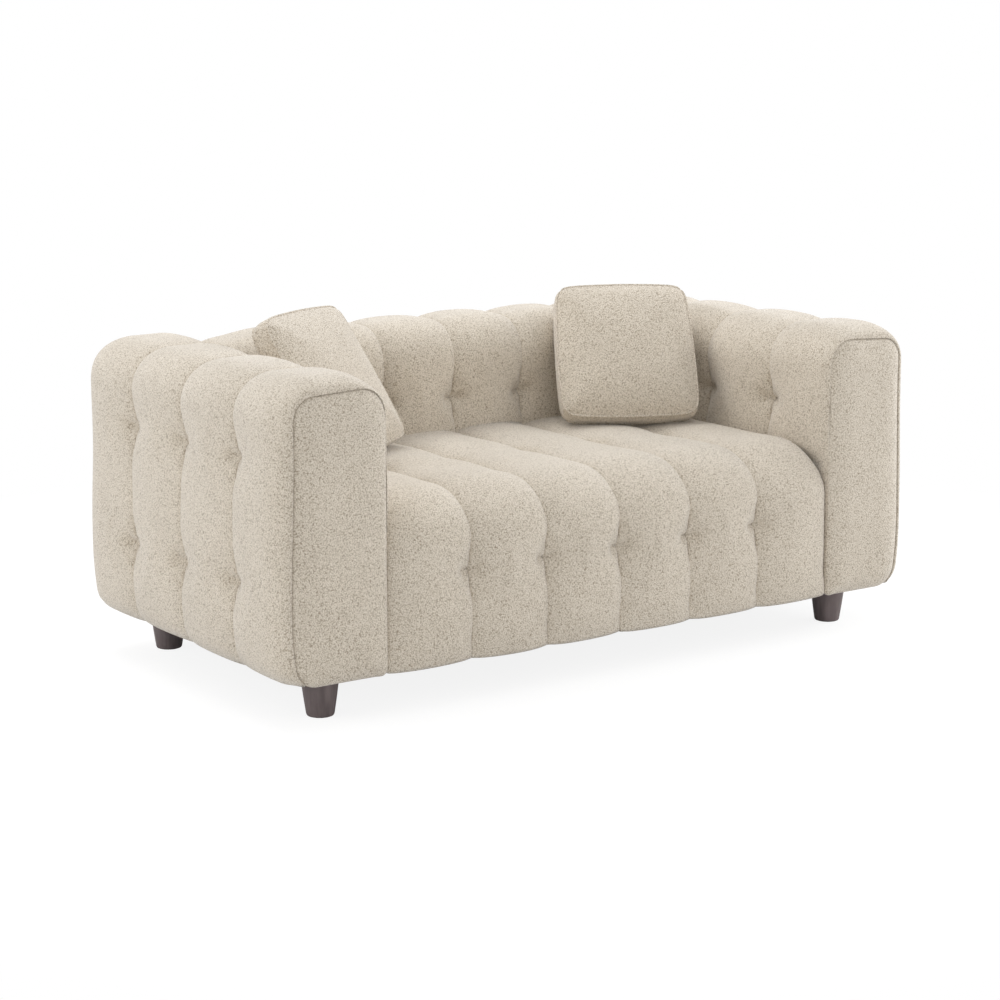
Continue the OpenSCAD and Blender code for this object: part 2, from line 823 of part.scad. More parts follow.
module frame_bolts() {
    grip = board_t + tie_rail_t;
    color("silver")
        for (side = [-1, 1])
            for (y = frame_bolt_ys)
                translate([side * seat_side_in_x, y, frame_bolt_z])
                    rotate([0, side * 90, 0]) {
                        translate([0, 0, -bolt_head_h])
                            cylinder(d = bolt_head_d, h = bolt_head_h, $fn = round_steps);
                        cylinder(d = bolt_d, h = grip, $fn = round_steps);
                        translate([0, 0, grip])
                            cylinder(d = bolt_head_d, h = bolt_head_h, $fn = round_steps);
                    }
}

module dust_cover() {
    color("black")
        difference() {
            translate([-arm_board_outer_x, seat_rail_front_y, underside_h])
                cube([2 * arm_board_outer_x, back_board_rear_y - seat_rail_front_y, dust_cover_t]);
            for (x = leg_xs)
                for (y = leg_ys)
                    translate([x, y, underside_h - overrun])
                        cylinder(d = leg_top_d + 2 * clearance, h = dust_cover_t + 2 * overrun,
                            $fn = 2 * round_steps);
        }
}

// A pillow: two crowned panels on a boxed band, each ring a softened square. Shares are
// of the half width and of the crown over the band's edge, from the middle outwards.
pillow_ring_shares = [0.42, 0.74, 0.93, 1];
pillow_rise_shares = [0.9, 0.58, 0.2, 0];
pillow_ring_steps = 24;
pillow_corner_share = 0.42;
// How far the band bows out between its two seams
pillow_band_bow = 3;
// How far each pillow's lower edge settles below the seat's crest line
left_pillow_settle = 2.5;
right_pillow_settle = 1.5;
pillow_half = pillow_w / 2 - pillow_band_bow;
pillow_foot_h = pillow_half * cos(pillow_lean) + pillow_band_w / 2 * sin(pillow_lean);
pillow_reach = pillow_half * (sin(pillow_turn) + sin(pillow_lean) * cos(pillow_turn))
    + pillow_band_w / 2 * cos(pillow_lean) * cos(pillow_turn);

function softened_square(half, k) =
    let (t = 360 * k / pillow_ring_steps)
    [
        half * sign(cos(t)) * pow(abs(cos(t)), pillow_corner_share),
        half * sign(sin(t)) * pow(abs(sin(t)), pillow_corner_share)
    ];

module pillow() {
    rise = (pillow_t - pillow_band_w) / 2;
    ring_count = len(pillow_ring_shares);
    panel = [
        for (r = [0:ring_count - 1])
            [pillow_ring_shares[r] * pillow_half, pillow_band_w / 2 + pillow_rise_shares[r] * rise]
    ];
    rings = concat(
        panel,
        [[pillow_w / 2, 0]],
        [for (r = [ring_count - 1:-1:0]) [panel[r][0], -panel[r][1]]]
    );
    count = len(rings);
    points = concat(
        [for (ring = rings) for (k = [0:pillow_ring_steps - 1]) concat(softened_square(ring[0], k), ring[1])],
        [[0, 0, pillow_t / 2], [0, 0, -pillow_t / 2]]
    );
    walls = [
        for (r = [0:count - 2])
            for (k = [0:pillow_ring_steps - 1])
                let (a = r * pillow_ring_steps + k, b = r * pillow_ring_steps + (k + 1) % pillow_ring_steps)
                each [[a, b, b + pillow_ring_steps], [a, b + pillow_ring_steps, a + pillow_ring_steps]]
    ];
    last = (count - 1) * pillow_ring_steps;
    top = [
        for (k = [0:pillow_ring_steps - 1])
            [count * pillow_ring_steps, (k + 1) % pillow_ring_steps, k]
    ];
    bottom = [
        for (k = [0:pillow_ring_steps - 1])
            [count * pillow_ring_steps + 1, last + k, last + (k + 1) % pillow_ring_steps]
    ];
    polyhedron(points, concat(walls, top, bottom));
}

// A pillow stands on the seat, turned to the middle and leaning on the back's crest
module placed_pillow(x, turn, settle) {
    color("antiquewhite")
        translate([x, back_front_y - pillow_reach + pillow_overhang, seat_h + pillow_foot_h - settle])
            rotate([0, 0, turn])
                rotate([90 - pillow_lean, 0, 0])
                    pillow();
}

seat_front_rail();
seat_rear_rail();
seat_left_rail();
mirror([1, 0, 0]) seat_left_rail();  // seat_right_rail
seat_cross_rails();
corner_blocks();
seat_springs();
spring_clips();
deck_cloth();
seat_core();
arm_base_board();  // left_arm_base_board
arm_ribs();  // left_arm_ribs
arm_tie_rail();  // left_arm_tie_rail
arm_top_rail();  // left_arm_top_rail
arm_outer_panel();  // left_arm_outer_panel
arm_inner_panel();  // left_arm_inner_panel
mirror([1, 0, 0]) arm_base_board();  // right_arm_base_board
mirror([1, 0, 0]) arm_ribs();  // right_arm_ribs
mirror([1, 0, 0]) arm_tie_rail();  // right_arm_tie_rail
mirror([1, 0, 0]) arm_top_rail();  // right_arm_top_rail
mirror([1, 0, 0]) arm_outer_panel();  // right_arm_outer_panel
mirror([1, 0, 0]) arm_inner_panel();  // right_arm_inner_panel
back_base_board();
back_ribs();
back_top_rail();
back_front_panel();
back_rear_panel();
dust_cover();
leg(-leg_x, leg_ys[0]);  // front_left_leg
leg(leg_x, leg_ys[0]);  // front_right_leg
leg(-leg_x, leg_ys[1]);  // rear_left_leg
leg(leg_x, leg_ys[1]);  // rear_right_leg
leg_bolts();
leg_nuts();
frame_bolts();
arm_end_pads();  // left_arm_end_pads
mirror([1, 0, 0]) arm_end_pads();  // right_arm_end_pads
for (i = [1:seat_channel_count]) {
    seat_channel(i);
    back_channel(i);
}
for (i = [1:arm_channel_count]) {
    arm_channel(i);
    mirror([1, 0, 0]) arm_channel(i);
}
placed_pillow(left_pillow_inset - arm_inner_x, pillow_turn, left_pillow_settle);  // left_pillow
placed_pillow(arm_inner_x - right_pillow_inset, -pillow_turn, right_pillow_settle);  // right_pillow
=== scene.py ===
import bmesh
import bpy
import math
import numpy as np
from mathutils import Matrix, Vector


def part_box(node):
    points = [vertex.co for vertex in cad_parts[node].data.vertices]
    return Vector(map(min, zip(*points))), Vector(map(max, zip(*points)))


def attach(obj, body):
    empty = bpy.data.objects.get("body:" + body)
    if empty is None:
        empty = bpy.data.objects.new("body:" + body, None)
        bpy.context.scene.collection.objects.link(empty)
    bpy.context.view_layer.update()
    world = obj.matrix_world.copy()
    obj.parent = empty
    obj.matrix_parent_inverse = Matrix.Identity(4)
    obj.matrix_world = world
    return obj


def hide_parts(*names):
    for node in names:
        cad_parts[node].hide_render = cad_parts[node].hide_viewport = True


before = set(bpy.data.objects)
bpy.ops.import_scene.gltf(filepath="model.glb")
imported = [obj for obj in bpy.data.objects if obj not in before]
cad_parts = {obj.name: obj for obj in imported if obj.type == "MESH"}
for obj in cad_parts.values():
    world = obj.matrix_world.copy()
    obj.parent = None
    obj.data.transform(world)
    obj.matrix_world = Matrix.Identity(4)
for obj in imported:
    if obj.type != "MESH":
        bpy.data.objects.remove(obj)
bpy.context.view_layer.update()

# Shape values in metres and degrees, as in the source
CROWN = 0.031
PAD_T = 0.019
TOP_R = 0.100
CORNER_R = 0.056
SEAT_TUCK_R = 0.143
TUCK_ANGLE = 20
OUTER_HIGH_TUFT_DROP = 0.178
OUTER_LOW_TUFT_RISE = 0.188
INNER_TUFT_DROP = 0.188
SEAT_FRONT_TUFT_DROP = 0.176
SEAT_TOP_TUFT_Y = 0.355
END_CROWN = 0.014
PILLOW_W = 0.350
PILLOW_T = 0.112
PILLOW_TURN = 28
PILLOW_LEAN = 32
PILLOW_BAND_W = 0.046
PILLOW_BAND_BOW = 0.003
LEG_FOOT_D = 0.059
LEG_TOP_D = 0.082

# The covers' foot is rounded less than the solids', and the seat's front rolls over in two bends
BOTTOM_R = 0.046
SEAT_ROLL_LOW_R = 0.080
SEAT_ROLL_HIGH_R = 0.130
SEAT_ROLL_SPLIT = 40

# Finer shape of the padded channels, which the CAD solids hold as plain forms
SEAT_CHANNELS = 6
ARM_CHANNELS = 4
STATION_STEP = 0.0065
COLUMNS = 34
SHOULDER = 0.62
SEAT_SHOULDER = 0.78
LEAST_PAD = 0.0015
EDGE_STEP = 0.001

# Tufts: how deep and how wide the stitch draws the skin in, and how far it pulls back its edge
TUFT_DEPTH = 0.009
TUFT_RISE = 0.042
TUFT_REACH = 0.025
TUFT_LIMIT = 3.5 * TUFT_REACH
TUFT_BLEND = 0.0035
TUFT_WAVE = 0.016
TUFT_WAVE_REACH = 0.085
SEAT_TOP_TUFT_SHARE = 0.6

# Bulge of the skin over the seams between the tufts, with places as angles of the section
BULGE = 0.009
BULGE_PLACE = 0.42
LEAN_PLACE = 0.42
LEAN_POWER = 1.4
SEAT_FOOT_HOLD = 0.7
SEAT_FOOT_HOLD_LENGTH = 0.07

# Ends of the arm channels, which roll over to the seam of the end panel
END_ROLL = 0.080
END_ROLL_POWER = 2.0
END_ROLL_START = 0.05
SEAM_UNDERCUT = 0.012

# Free edges beside an arm spread to meet it: the seat's in front, the back's in front, on top and
# in the rear
SEAT_EDGE_SPREAD = 0.014
SEAT_SPREAD_LENGTH = 0.12
BACK_EDGE_SPREADS = (0.050, 0.006, 0.022)
BACK_TOP_LENGTH = 0.09
BACK_REAR_LENGTH = 0.06

# Foot fills as the share by which the seams' valleys close at the foot, and over what length
ARM_FOOT_FILL = (0.88, 0.018)
BACK_FOOT_FILL = (0.75, 0.055)
NO_FOOT_FILL = (0, 1)
SEAT_FOOT_LENGTH = 0.055
SEAT_FOOT_SEAM_SHARE = 0.35

# Settling of the covers, with fades as their start and their length, below 0 where they run down
SIDE_FLARE = 0.010
FLARE_X_FADE = (0.60, 0.20)
FLARE_Z_FADE = (0.60, -0.38)
FOOT_TUCK = 0.015
FOOT_TUCK_TOP_Z = 0.24
CORNER_SAG = 0.014
SAG_INNER_FADE = (0.42, 0.12)
SAG_OUTER_FADE = (0.68, -0.08)
SAG_Y_FADE = (-0.30, 0.45)
SAG_Z_FADE = (0.52, 0.14)

# Unevenness of the stuffing: slow waves, in radians per metre along and across a channel
WOBBLE = 0.0016
WOBBLE_WAVES = 7
WOBBLE_ALONG = (6, 34)
WOBBLE_ACROSS = (-26, 26)
WOBBLE_PHASE = 6.3
WOBBLE_GAIN = 1.4

# Seam of an arm's end panel: how far it lies in from the crests, its corners' radii and its arch
PANEL_INNER_IN = 0.014
PANEL_OUTER_IN = 0.031
PANEL_TOP_IN = 0.024
PANEL_INNER_TOP_R = 0.056
PANEL_OUTER_TOP_R = 0.044
PANEL_INNER_FOOT_R = 0.016
PANEL_OUTER_FOOT_R = 0.044
PANEL_ARCH = 0.014
ARCH_INNER_SHARE = 0.3
ARCH_POWER = 1.6
ARCH_Z_FADE = (0.50, 0.14)
HALVINGS = 24

# Sizes read from the frame
arm_low, arm_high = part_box("left_arm_channel_2")
seat_low, seat_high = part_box("seat_channel_3")
back_low, back_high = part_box("back_channel_3")
SOFA_HALF_W = -arm_low.x
ARM_INNER_X = -arm_high.x
SOFA_H = arm_high.z
UNDERSIDE_H = arm_low.z
ARM_PITCH = arm_high.y - arm_low.y
SEAT_H = seat_high.z
SEAT_PITCH = seat_high.x - seat_low.x
FRONT_Y = seat_low.y
REAR_Y = back_high.y
BACK_FRONT_Y = back_low.y
SIDE_TOP_Z = SOFA_H - TOP_R
SEAT_BASE_Z = SEAT_H - CROWN
PANEL_LOW_X = PANEL_OUTER_IN - SOFA_HALF_W
PANEL_HIGH_X = -ARM_INNER_X - PANEL_INNER_IN
PANEL_HIGH_Z = SOFA_H - PANEL_TOP_IN


# Paths: a padded channel is a D section swept along the base line of its seams

def bend(radius, degrees):
    """A run that turns left, as its length and its angle."""
    return radius * math.radians(degrees), degrees


def straight(length):
    return length, 0


def run_start(path, index):
    return sum(run[0] for run in path[:index])


def follow(route, distances):
    """Places along a route as rows of across, up and heading in degrees."""
    path, x, z, heading = route
    rows = []
    for distance in distances:
        px, pz, angle, left = x, z, heading, distance
        for length, turn in path:
            step = min(left, length)
            a = math.radians(angle)
            if turn == 0:
                px += step * math.cos(a)
                pz += step * math.sin(a)
            else:
                radius = length / math.radians(turn)
                b = a + step / radius
                px += radius * (math.sin(b) - math.sin(a))
                pz -= radius * (math.cos(b) - math.cos(a))
                angle += math.degrees(step / radius)
            left -= step
            if left <= 0:
                break
        rows.append((px, pz, angle))
    return np.array(rows)


def stations(path):
    """Even places along each run of a path, with the ends of the runs among them."""
    places = [0.0]
    start = 0.0
    for length, _ in path:
        count = max(1, round(length / STATION_STEP))
        places += [start + length * k / count for k in range(1, count + 1)]
        start += length
    return np.array(places)


TOP_BEND = bend(TOP_R - CROWN, 90)
FOOT_BEND = bend(BOTTOM_R - CROWN, 90)
OUTER_RUNS = [
    straight(OUTER_HIGH_TUFT_DROP - TOP_R),
    straight(SOFA_H - OUTER_HIGH_TUFT_DROP - UNDERSIDE_H - OUTER_LOW_TUFT_RISE),
    straight(OUTER_LOW_TUFT_RISE - BOTTOM_R),
    FOOT_BEND,
]
INNER_TUFT_Z = SOFA_H - INNER_TUFT_DROP
ARM_W = SOFA_HALF_W - ARM_INNER_X
ARM_START_Z = SEAT_BASE_Z - 2 * PAD_T
ARM_PATH = [
    straight(INNER_TUFT_Z - ARM_START_Z), straight(SIDE_TOP_Z - INNER_TUFT_Z), TOP_BEND,
    straight(ARM_W - 2 * TOP_R), TOP_BEND,
] + OUTER_RUNS
ARM_CORNER_PATH = [
    bend(CORNER_R - CROWN, 90), straight(ARM_W - TOP_R - CORNER_R), TOP_BEND,
] + OUTER_RUNS
BACK_PATH = [
    straight(INNER_TUFT_Z - SEAT_BASE_Z), straight(SIDE_TOP_Z - INNER_TUFT_Z), TOP_BEND,
    straight(REAR_Y - BACK_FRONT_Y - 2 * TOP_R), TOP_BEND,
] + OUTER_RUNS
TUCK_DEPTH = SEAT_TUCK_R * (1 - math.cos(math.radians(TUCK_ANGLE)))
SEAT_START_Z = UNDERSIDE_H + CROWN * math.sin(math.radians(TUCK_ANGLE))
TUCK_TOP_Z = SEAT_START_Z + SEAT_TUCK_R * math.sin(math.radians(TUCK_ANGLE))
SEAT_FRONT_TUFT_Z = SEAT_H - SEAT_FRONT_TUFT_DROP
ROLL_SIN = math.sin(math.radians(SEAT_ROLL_SPLIT))
ROLL_COS = math.cos(math.radians(SEAT_ROLL_SPLIT))
SEAT_ROLL_RISE = SEAT_ROLL_LOW_R * ROLL_SIN + SEAT_ROLL_HIGH_R * (1 - ROLL_SIN)
SEAT_ROLL_RUN = SEAT_ROLL_LOW_R * (1 - ROLL_COS) + SEAT_ROLL_HIGH_R * ROLL_COS
SEAT_PATH = [
    bend(SEAT_TUCK_R, TUCK_ANGLE),
    straight(SEAT_FRONT_TUFT_Z - TUCK_TOP_Z),
    straight(SEAT_BASE_Z - SEAT_ROLL_RISE - SEAT_FRONT_TUFT_Z),
    bend(SEAT_ROLL_LOW_R, SEAT_ROLL_SPLIT),
    bend(SEAT_ROLL_HIGH_R, 90 - SEAT_ROLL_SPLIT),
    straight(SEAT_TOP_TUFT_Y - CROWN - SEAT_ROLL_RUN),
    straight(BACK_FRONT_Y + CROWN - FRONT_Y - SEAT_TOP_TUFT_Y),
]
# Routes: a path with the place across, the height and the heading where it starts
ARM_ROUTE = (ARM_PATH, -ARM_INNER_X - CROWN, ARM_START_Z, 90)
ARM_CORNER_ROUTE = (ARM_CORNER_PATH, -ARM_INNER_X - CROWN, SOFA_H - CORNER_R, 90)
SEAT_ROUTE = (SEAT_PATH, -FRONT_Y - CROWN - TUCK_DEPTH, SEAT_START_Z, 90 - TUCK_ANGLE)
BACK_ROUTE = (BACK_PATH, -BACK_FRONT_Y - CROWN, SEAT_BASE_Z, 90)
# Tufts as their places along a path and their relative sizes
ARM_TUFTS = [(run_start(ARM_PATH, k), 1) for k in (1, 6, 7)]
ARM_CORNER_TUFTS = [(run_start(ARM_CORNER_PATH, k), 1) for k in (4, 5)]
BACK_TUFTS = [(run_start(BACK_PATH, k), 1) for k in (1, 6, 7)]
SEAT_TUFTS = [(run_start(SEAT_PATH, 2), 1), (run_start(SEAT_PATH, 6), SEAT_TOP_TUFT_SHARE)]
# Where the seat's front begins to roll over, and where the back's top and rear begin
SEAT_ROLL_PLACE = run_start(SEAT_PATH, 3)
BACK_TOP_PLACE = run_start(BACK_PATH, 2)
BACK_REAR_PLACE = run_start(BACK_PATH, 4)


# Mesh helpers

def make_mesh(name, points, faces):
    mesh = bpy.data.meshes.new(name)
    mesh.from_pydata([tuple(p) for p in points], [], faces)
    work = bmesh.new()
    work.from_mesh(mesh)
    bmesh.ops.recalc_face_normals(work, faces=work.faces)
    work.to_mesh(mesh)
    work.free()
    mesh.polygons.foreach_set("use_smooth", [True] * len(mesh.polygons))
    piece = bpy.data.objects.new(name, mesh)
    bpy.context.collection.objects.link(piece)
    return piece


def tube_faces(rows, ring):
    """Faces of a swept ring, closed at both ends."""
    faces = []
    for i in range(rows - 1):
        for j in range(ring):
            a, b = i * ring + j, i * ring + (j + 1) % ring
            faces.append((a, b, b + ring, a + ring))
    faces.append(tuple(range(ring)))
    faces.append(tuple(range((rows - 1) * ring, rows * ring)))
    return faces


def wobble(seed, along, across):
    """Slow unevenness of stuffed fabric, mostly from -1 to 1."""
    rng = np.random.default_rng(seed)
    total = np.zeros(along.shape)
    for _ in range(WOBBLE_WAVES):
        pace, slant = rng.uniform(*WOBBLE_ALONG), rng.uniform(*WOBBLE_ACROSS)
        total += np.sin(pace * along + slant * across + rng.uniform(0, WOBBLE_PHASE)) / WOBBLE_WAVES
    return total * 2


def smooth_step(value):
    value = np.clip(value, 0, 1)
    return value * value * (3 - 2 * value)


def faded(value, fade):
    """A smooth rise from 0 to 1 over a fade, given as its start and its length."""
    start, length = fade
    return smooth_step((value - start) / length)


def panel_arch(x, z):
    """How much lower the seam of an end panel lies at its top, more on the outer side."""
    share = np.clip((PANEL_HIGH_X - x) / (PANEL_HIGH_X - PANEL_LOW_X), 0, 1)
    outer = ARCH_INNER_SHARE + (1 - ARCH_INNER_SHARE) * share ** ARCH_POWER
    return PANEL_ARCH * outer * faded(z, ARCH_Z_FADE)


def panel_distance(x, z):
    """How far a point of the left arm's front lies outside the seam of its end panel."""
    z = z + panel_arch(x, z)
    px, pz = x - (PANEL_LOW_X + PANEL_HIGH_X) / 2, z - (UNDERSIDE_H + PANEL_HIGH_Z) / 2
    top_r = np.where(px > 0, PANEL_INNER_TOP_R, PANEL_OUTER_TOP_R)
    foot_r = np.where(px > 0, PANEL_INNER_FOOT_R, PANEL_OUTER_FOOT_R)
    radius = np.where(pz > 0, top_r, foot_r)
    over_x = np.abs(px) - (PANEL_HIGH_X - PANEL_LOW_X) / 2 + radius
    over_z = np.abs(pz) - (PANEL_HIGH_Z - UNDERSIDE_H) / 2 + radius
    outside = np.hypot(np.maximum(over_x, 0), np.maximum(over_z, 0))
    return outside + np.minimum(np.maximum(over_x, over_z), 0) - radius


def panel_lift(places):
    """Lift over the seams' base line at which a channel's end meets the end panel."""
    x, z, angle = places[:, 0], places[:, 1], np.radians(places[:, 2])
    low, high = np.full(x.shape, EDGE_STEP - PAD_T), np.full(x.shape, CROWN)
    for _ in range(HALVINGS):
        middle = (low + high) / 2
        outside = panel_distance(x + np.sin(angle) * middle, z - np.cos(angle) * middle) > 0
        high = np.where(outside, middle, high)
        low = np.where(outside, low, middle)
    return low


def settled(points):
    """Points of the covers, with the arms' outer sides flared and tucked in at the foot, and the
    rear corners sagged."""
    x, y, z = points[..., 0], points[..., 1], points[..., 2]
    outer = faded(np.abs(x), FLARE_X_FADE)
    x = x + np.sign(x) * SIDE_FLARE * outer * faded(z, FLARE_Z_FADE)
    tuck = np.clip((FOOT_TUCK_TOP_Z - z) / (FOOT_TUCK_TOP_Z - UNDERSIDE_H), 0, 1)
    x = x - np.sign(x) * FOOT_TUCK * outer * tuck ** 2
    sag = faded(np.abs(x), SAG_INNER_FADE) * faded(np.abs(x), SAG_OUTER_FADE)
    sag = sag * faded(y, SAG_Y_FADE) * faded(z, SAG_Z_FADE)
    return np.stack([x, y, z - CORNER_SAG * sag], axis=-1)


# Channels

def end_lift(places, row, inside, starts_low):
    """Lift of a channel's end that rolls over to the seam of an end panel."""
    share = np.clip(1 - inside / END_ROLL, 0, 1)
    rolled = (1 - share ** END_ROLL_POWER) ** (1 / END_ROLL_POWER)
    if starts_low:
        rolled = rolled * smooth_step(row / END_ROLL_START)
    drop = CROWN - panel_lift(places)[:, None]
    return CROWN - drop + drop * rolled


def edge_spread(kind, row):
    """How far a channel's free edge spreads to meet the arm beside it."""
    if kind == "panel":
        return SEAT_EDGE_SPREAD * (1 - smooth_step((row - SEAT_ROLL_PLACE) / SEAT_SPREAD_LENGTH))
    front, top, rear = BACK_EDGE_SPREADS
    spread = front + (top - front) * smooth_step((row - BACK_TOP_PLACE) / BACK_TOP_LENGTH)
    return spread + (rear - top) * smooth_step((row - BACK_REAR_PLACE) / BACK_REAR_LENGTH)


def tufted(lift, row, inside, near, tufts):
    """A skin's lift with the tufts of one seam drawn in."""
    for place, size in tufts:
        away = np.hypot(row - place, inside)
        held = TUFT_RISE * (1 - np.exp(-away / (TUFT_REACH * size))) - TUFT_DEPTH * size
        capped = -TUFT_BLEND * np.logaddexp(-lift / TUFT_BLEND, -held / TUFT_BLEND)
        lift = np.where(near & (away < TUFT_LIMIT), capped, lift)
    return lift


def seam_pull(row, edge_t, tufts, seat):
    """How far the skin is pulled in at a seam's tufts, or below 0 bulges over the seam."""
    bulge_share = edge_t / BULGE_PLACE * np.exp(1 - edge_t / BULGE_PLACE)
    lean = smooth_step(edge_t / LEAN_PLACE) * np.cos(edge_t) ** LEAN_POWER
    held_back = np.zeros_like(row)
    if seat:
        held_back = SEAT_FOOT_HOLD * (1 - smooth_step(row / SEAT_FOOT_HOLD_LENGTH))
    for place, size in tufts:
        far = np.clip(np.abs(row - place) / TUFT_WAVE_REACH, 0, 1)
        held_back = np.maximum(held_back, np.cos(far * math.pi / 2) ** 2 * size)
    return TUFT_WAVE * held_back * lean - BULGE * (1 - held_back) * bulge_share


def channel_grid(route, low, high, tufts, sides, mitres, seed, seat, foot_fill):
    """Rows of across, side and up points of a padded channel's skin and inner face. Sides tell
    what the low and the high edge meet: "tuft" is a tufted seam, "end" an arm's end panel,
    "panel" that panel beside the seat, and "arm" an arm beside the back."""
    path, _, start_z, _ = route
    s = stations(path)
    places = follow(route, s)
    angle = np.radians(places[:, 2:])
    half = (high - low) / 2
    row, t = np.meshgrid(s, np.linspace(0, math.pi, COLUMNS + 1), indexing="ij")
    edge_t = np.minimum(t, math.pi - t)
    u = -np.cos(t) * half
    inside = half - np.abs(u)
    swell = np.sin(t) ** (SEAT_SHOULDER if seat else SHOULDER)
    if seat:
        depth = smooth_step(row / SEAT_FOOT_LENGTH)
        swell = 1 - (1 - swell) * (SEAT_FOOT_SEAM_SHARE + (1 - SEAT_FOOT_SEAM_SHARE) * depth)
    lift = CROWN * swell
    pull = np.zeros_like(u)
    for kind, near, outward in zip(sides, (u < 0, u >= 0), (-1, 1)):
        if kind == "end":
            lift = np.where(near, end_lift(places, row, inside, start_z < SEAT_H), lift)
        elif kind == "tuft":
            lift = tufted(lift, row, inside, near, tufts)
            pull = pull - outward * near * seam_pull(row, edge_t, tufts, seat)
        else:
            pull = pull + outward * near * edge_spread(kind, row) * np.cos(edge_t) ** 2
    fill, fill_length = foot_fill
    fill = fill * smooth_step((row - s[-1] + fill_length) / fill_length)
    # The edge at an arm's end panel keeps the panel's own outline
    fill = fill * np.where(u < 0, sides[0] != "end", sides[1] != "end")
    lift = lift + (CROWN - lift) * fill
    lift = lift + WOBBLE * wobble(seed, row, u) * np.minimum(1, lift.clip(0) / CROWN * WOBBLE_GAIN)
    lift = np.maximum(lift, LEAST_PAD - PAD_T)
    u = u + pull
    # Behind the skin the edges go straight in, or are cut back under the seam of an end panel
    high_u = u[:, -1:] - (SEAM_UNDERCUT if sides[1] == "end" else 0)
    low_u = u[:, :1] + (SEAM_UNDERCUT if sides[0] == "end" else 0)
    bottom = np.full_like(low_u, -PAD_T)
    u = np.hstack([u, high_u, high_u, low_u, low_u])
    lift = np.hstack([lift, lift[:, -1:] - EDGE_STEP, bottom, bottom, lift[:, :1] - EDGE_STEP])
    # A mitre of 1 cuts an end at 45 degrees, where two channels meet in a corner
    mitre = np.zeros((len(s), 1))
    mitre[0] = mitres[0]
    mitre[-1] = -mitres[1]
    across = places[:, :1] + np.sin(angle) * lift + mitre * np.cos(angle) * lift
    up = places[:, 1:2] - np.cos(angle) * lift + mitre * np.sin(angle) * lift
    return across, u + (low + high) / 2, up


def channel(name, route, low, high, tufts, sides, place, seed,
            mitres=(0, 0), seat=False, foot_fill=ARM_FOOT_FILL):
    """The cover over a channel's solid. Place turns the grid's points to where the row of channels
    lies."""
    across, side, up = channel_grid(route, low, high, tufts, sides, mitres, seed, seat, foot_fill)
    rows, ring = across.shape
    points = settled(place(across, side, up)).reshape(-1, 3)
    piece = make_mesh(name + "_cover", points, tube_faces(rows, ring))
    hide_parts(name)
    return piece


def on_left_arm(across, side, up):
    return np.stack([across, side, up], axis=-1)


def on_right_arm(across, side, up):
    return np.stack([-across, side, up], axis=-1)


def on_middle(across, side, up):
    return np.stack([side, -across, up], axis=-1)


def edges(k, count, outer):
    """What both edges of a channel meet: a tufted seam, or at a row's ends the outer kind."""
    return outer if k == 0 else "tuft", outer if k == count - 1 else "tuft"


covers = []
for arm, place, first_seed in (("left", on_left_arm, 20), ("right", on_right_arm, 30)):
    for k in range(ARM_CHANNELS):
        last = k == ARM_CHANNELS - 1
        low = FRONT_Y + ARM_PITCH * k + (END_CROWN if k == 0 else 0)
        high = FRONT_Y + ARM_PITCH * (k + 1) - (END_CROWN if last else 0)
        covers.append(channel(
            f"{arm}_arm_channel_{k + 1}", ARM_CORNER_ROUTE if last else ARM_ROUTE, low, high,
            ARM_CORNER_TUFTS if last else ARM_TUFTS, edges(k, ARM_CHANNELS, "end"), place, first_seed + k,
        ))
for k in range(SEAT_CHANNELS):
    low = SEAT_PITCH * k - ARM_INNER_X
    high = low + SEAT_PITCH
    covers.append(channel(
        f"seat_channel_{k + 1}", SEAT_ROUTE, low, high, SEAT_TUFTS, edges(k, SEAT_CHANNELS, "panel"),
        on_middle, seed=40 + k, mitres=(0, 1), seat=True, foot_fill=NO_FOOT_FILL,
    ))
    covers.append(channel(
        f"back_channel_{k + 1}", BACK_ROUTE, low, high, BACK_TUFTS, edges(k, SEAT_CHANNELS, "arm"),
        on_middle, seed=60 + k, mitres=(1, 0), foot_fill=BACK_FOOT_FILL,
    ))


# End panels of the arms, sewn to the first and the last channel

END_EDGE = 0.06
END_EDGE_POWER = 1.7
END_RINGS = 20
END_RING_POWER = 1.6
END_CORNER_POINTS = 13
END_OUTLINE_STEP = 0.006
END_STAND_BACK = 0.001
WELD_GAP = 0.0002

# The seam's crease and the valley round it, which are faint on the inner side below the top bend
END_SEAM_DIP = 0.003
END_SEAM_W = 0.0026
END_VALLEY = 0.003
END_VALLEY_W = 0.016
END_DIP_EASED = 0.85
END_INNER_X_FADE = (-ARM_INNER_X - 0.05, 0.03)
END_INNER_Z_FADE = (0.66, -0.05)
END_WOBBLE = 0.001
END_WOBBLE_LENGTH = 0.03

# Allowance behind the seam, deeper where the seat lies against it
ALLOWANCE = 0.016
SEAT_ALLOWANCE = 0.075
BY_SEAT_X = PANEL_HIGH_X - 0.002
BY_SEAT_Z = SEAT_H + 0.02


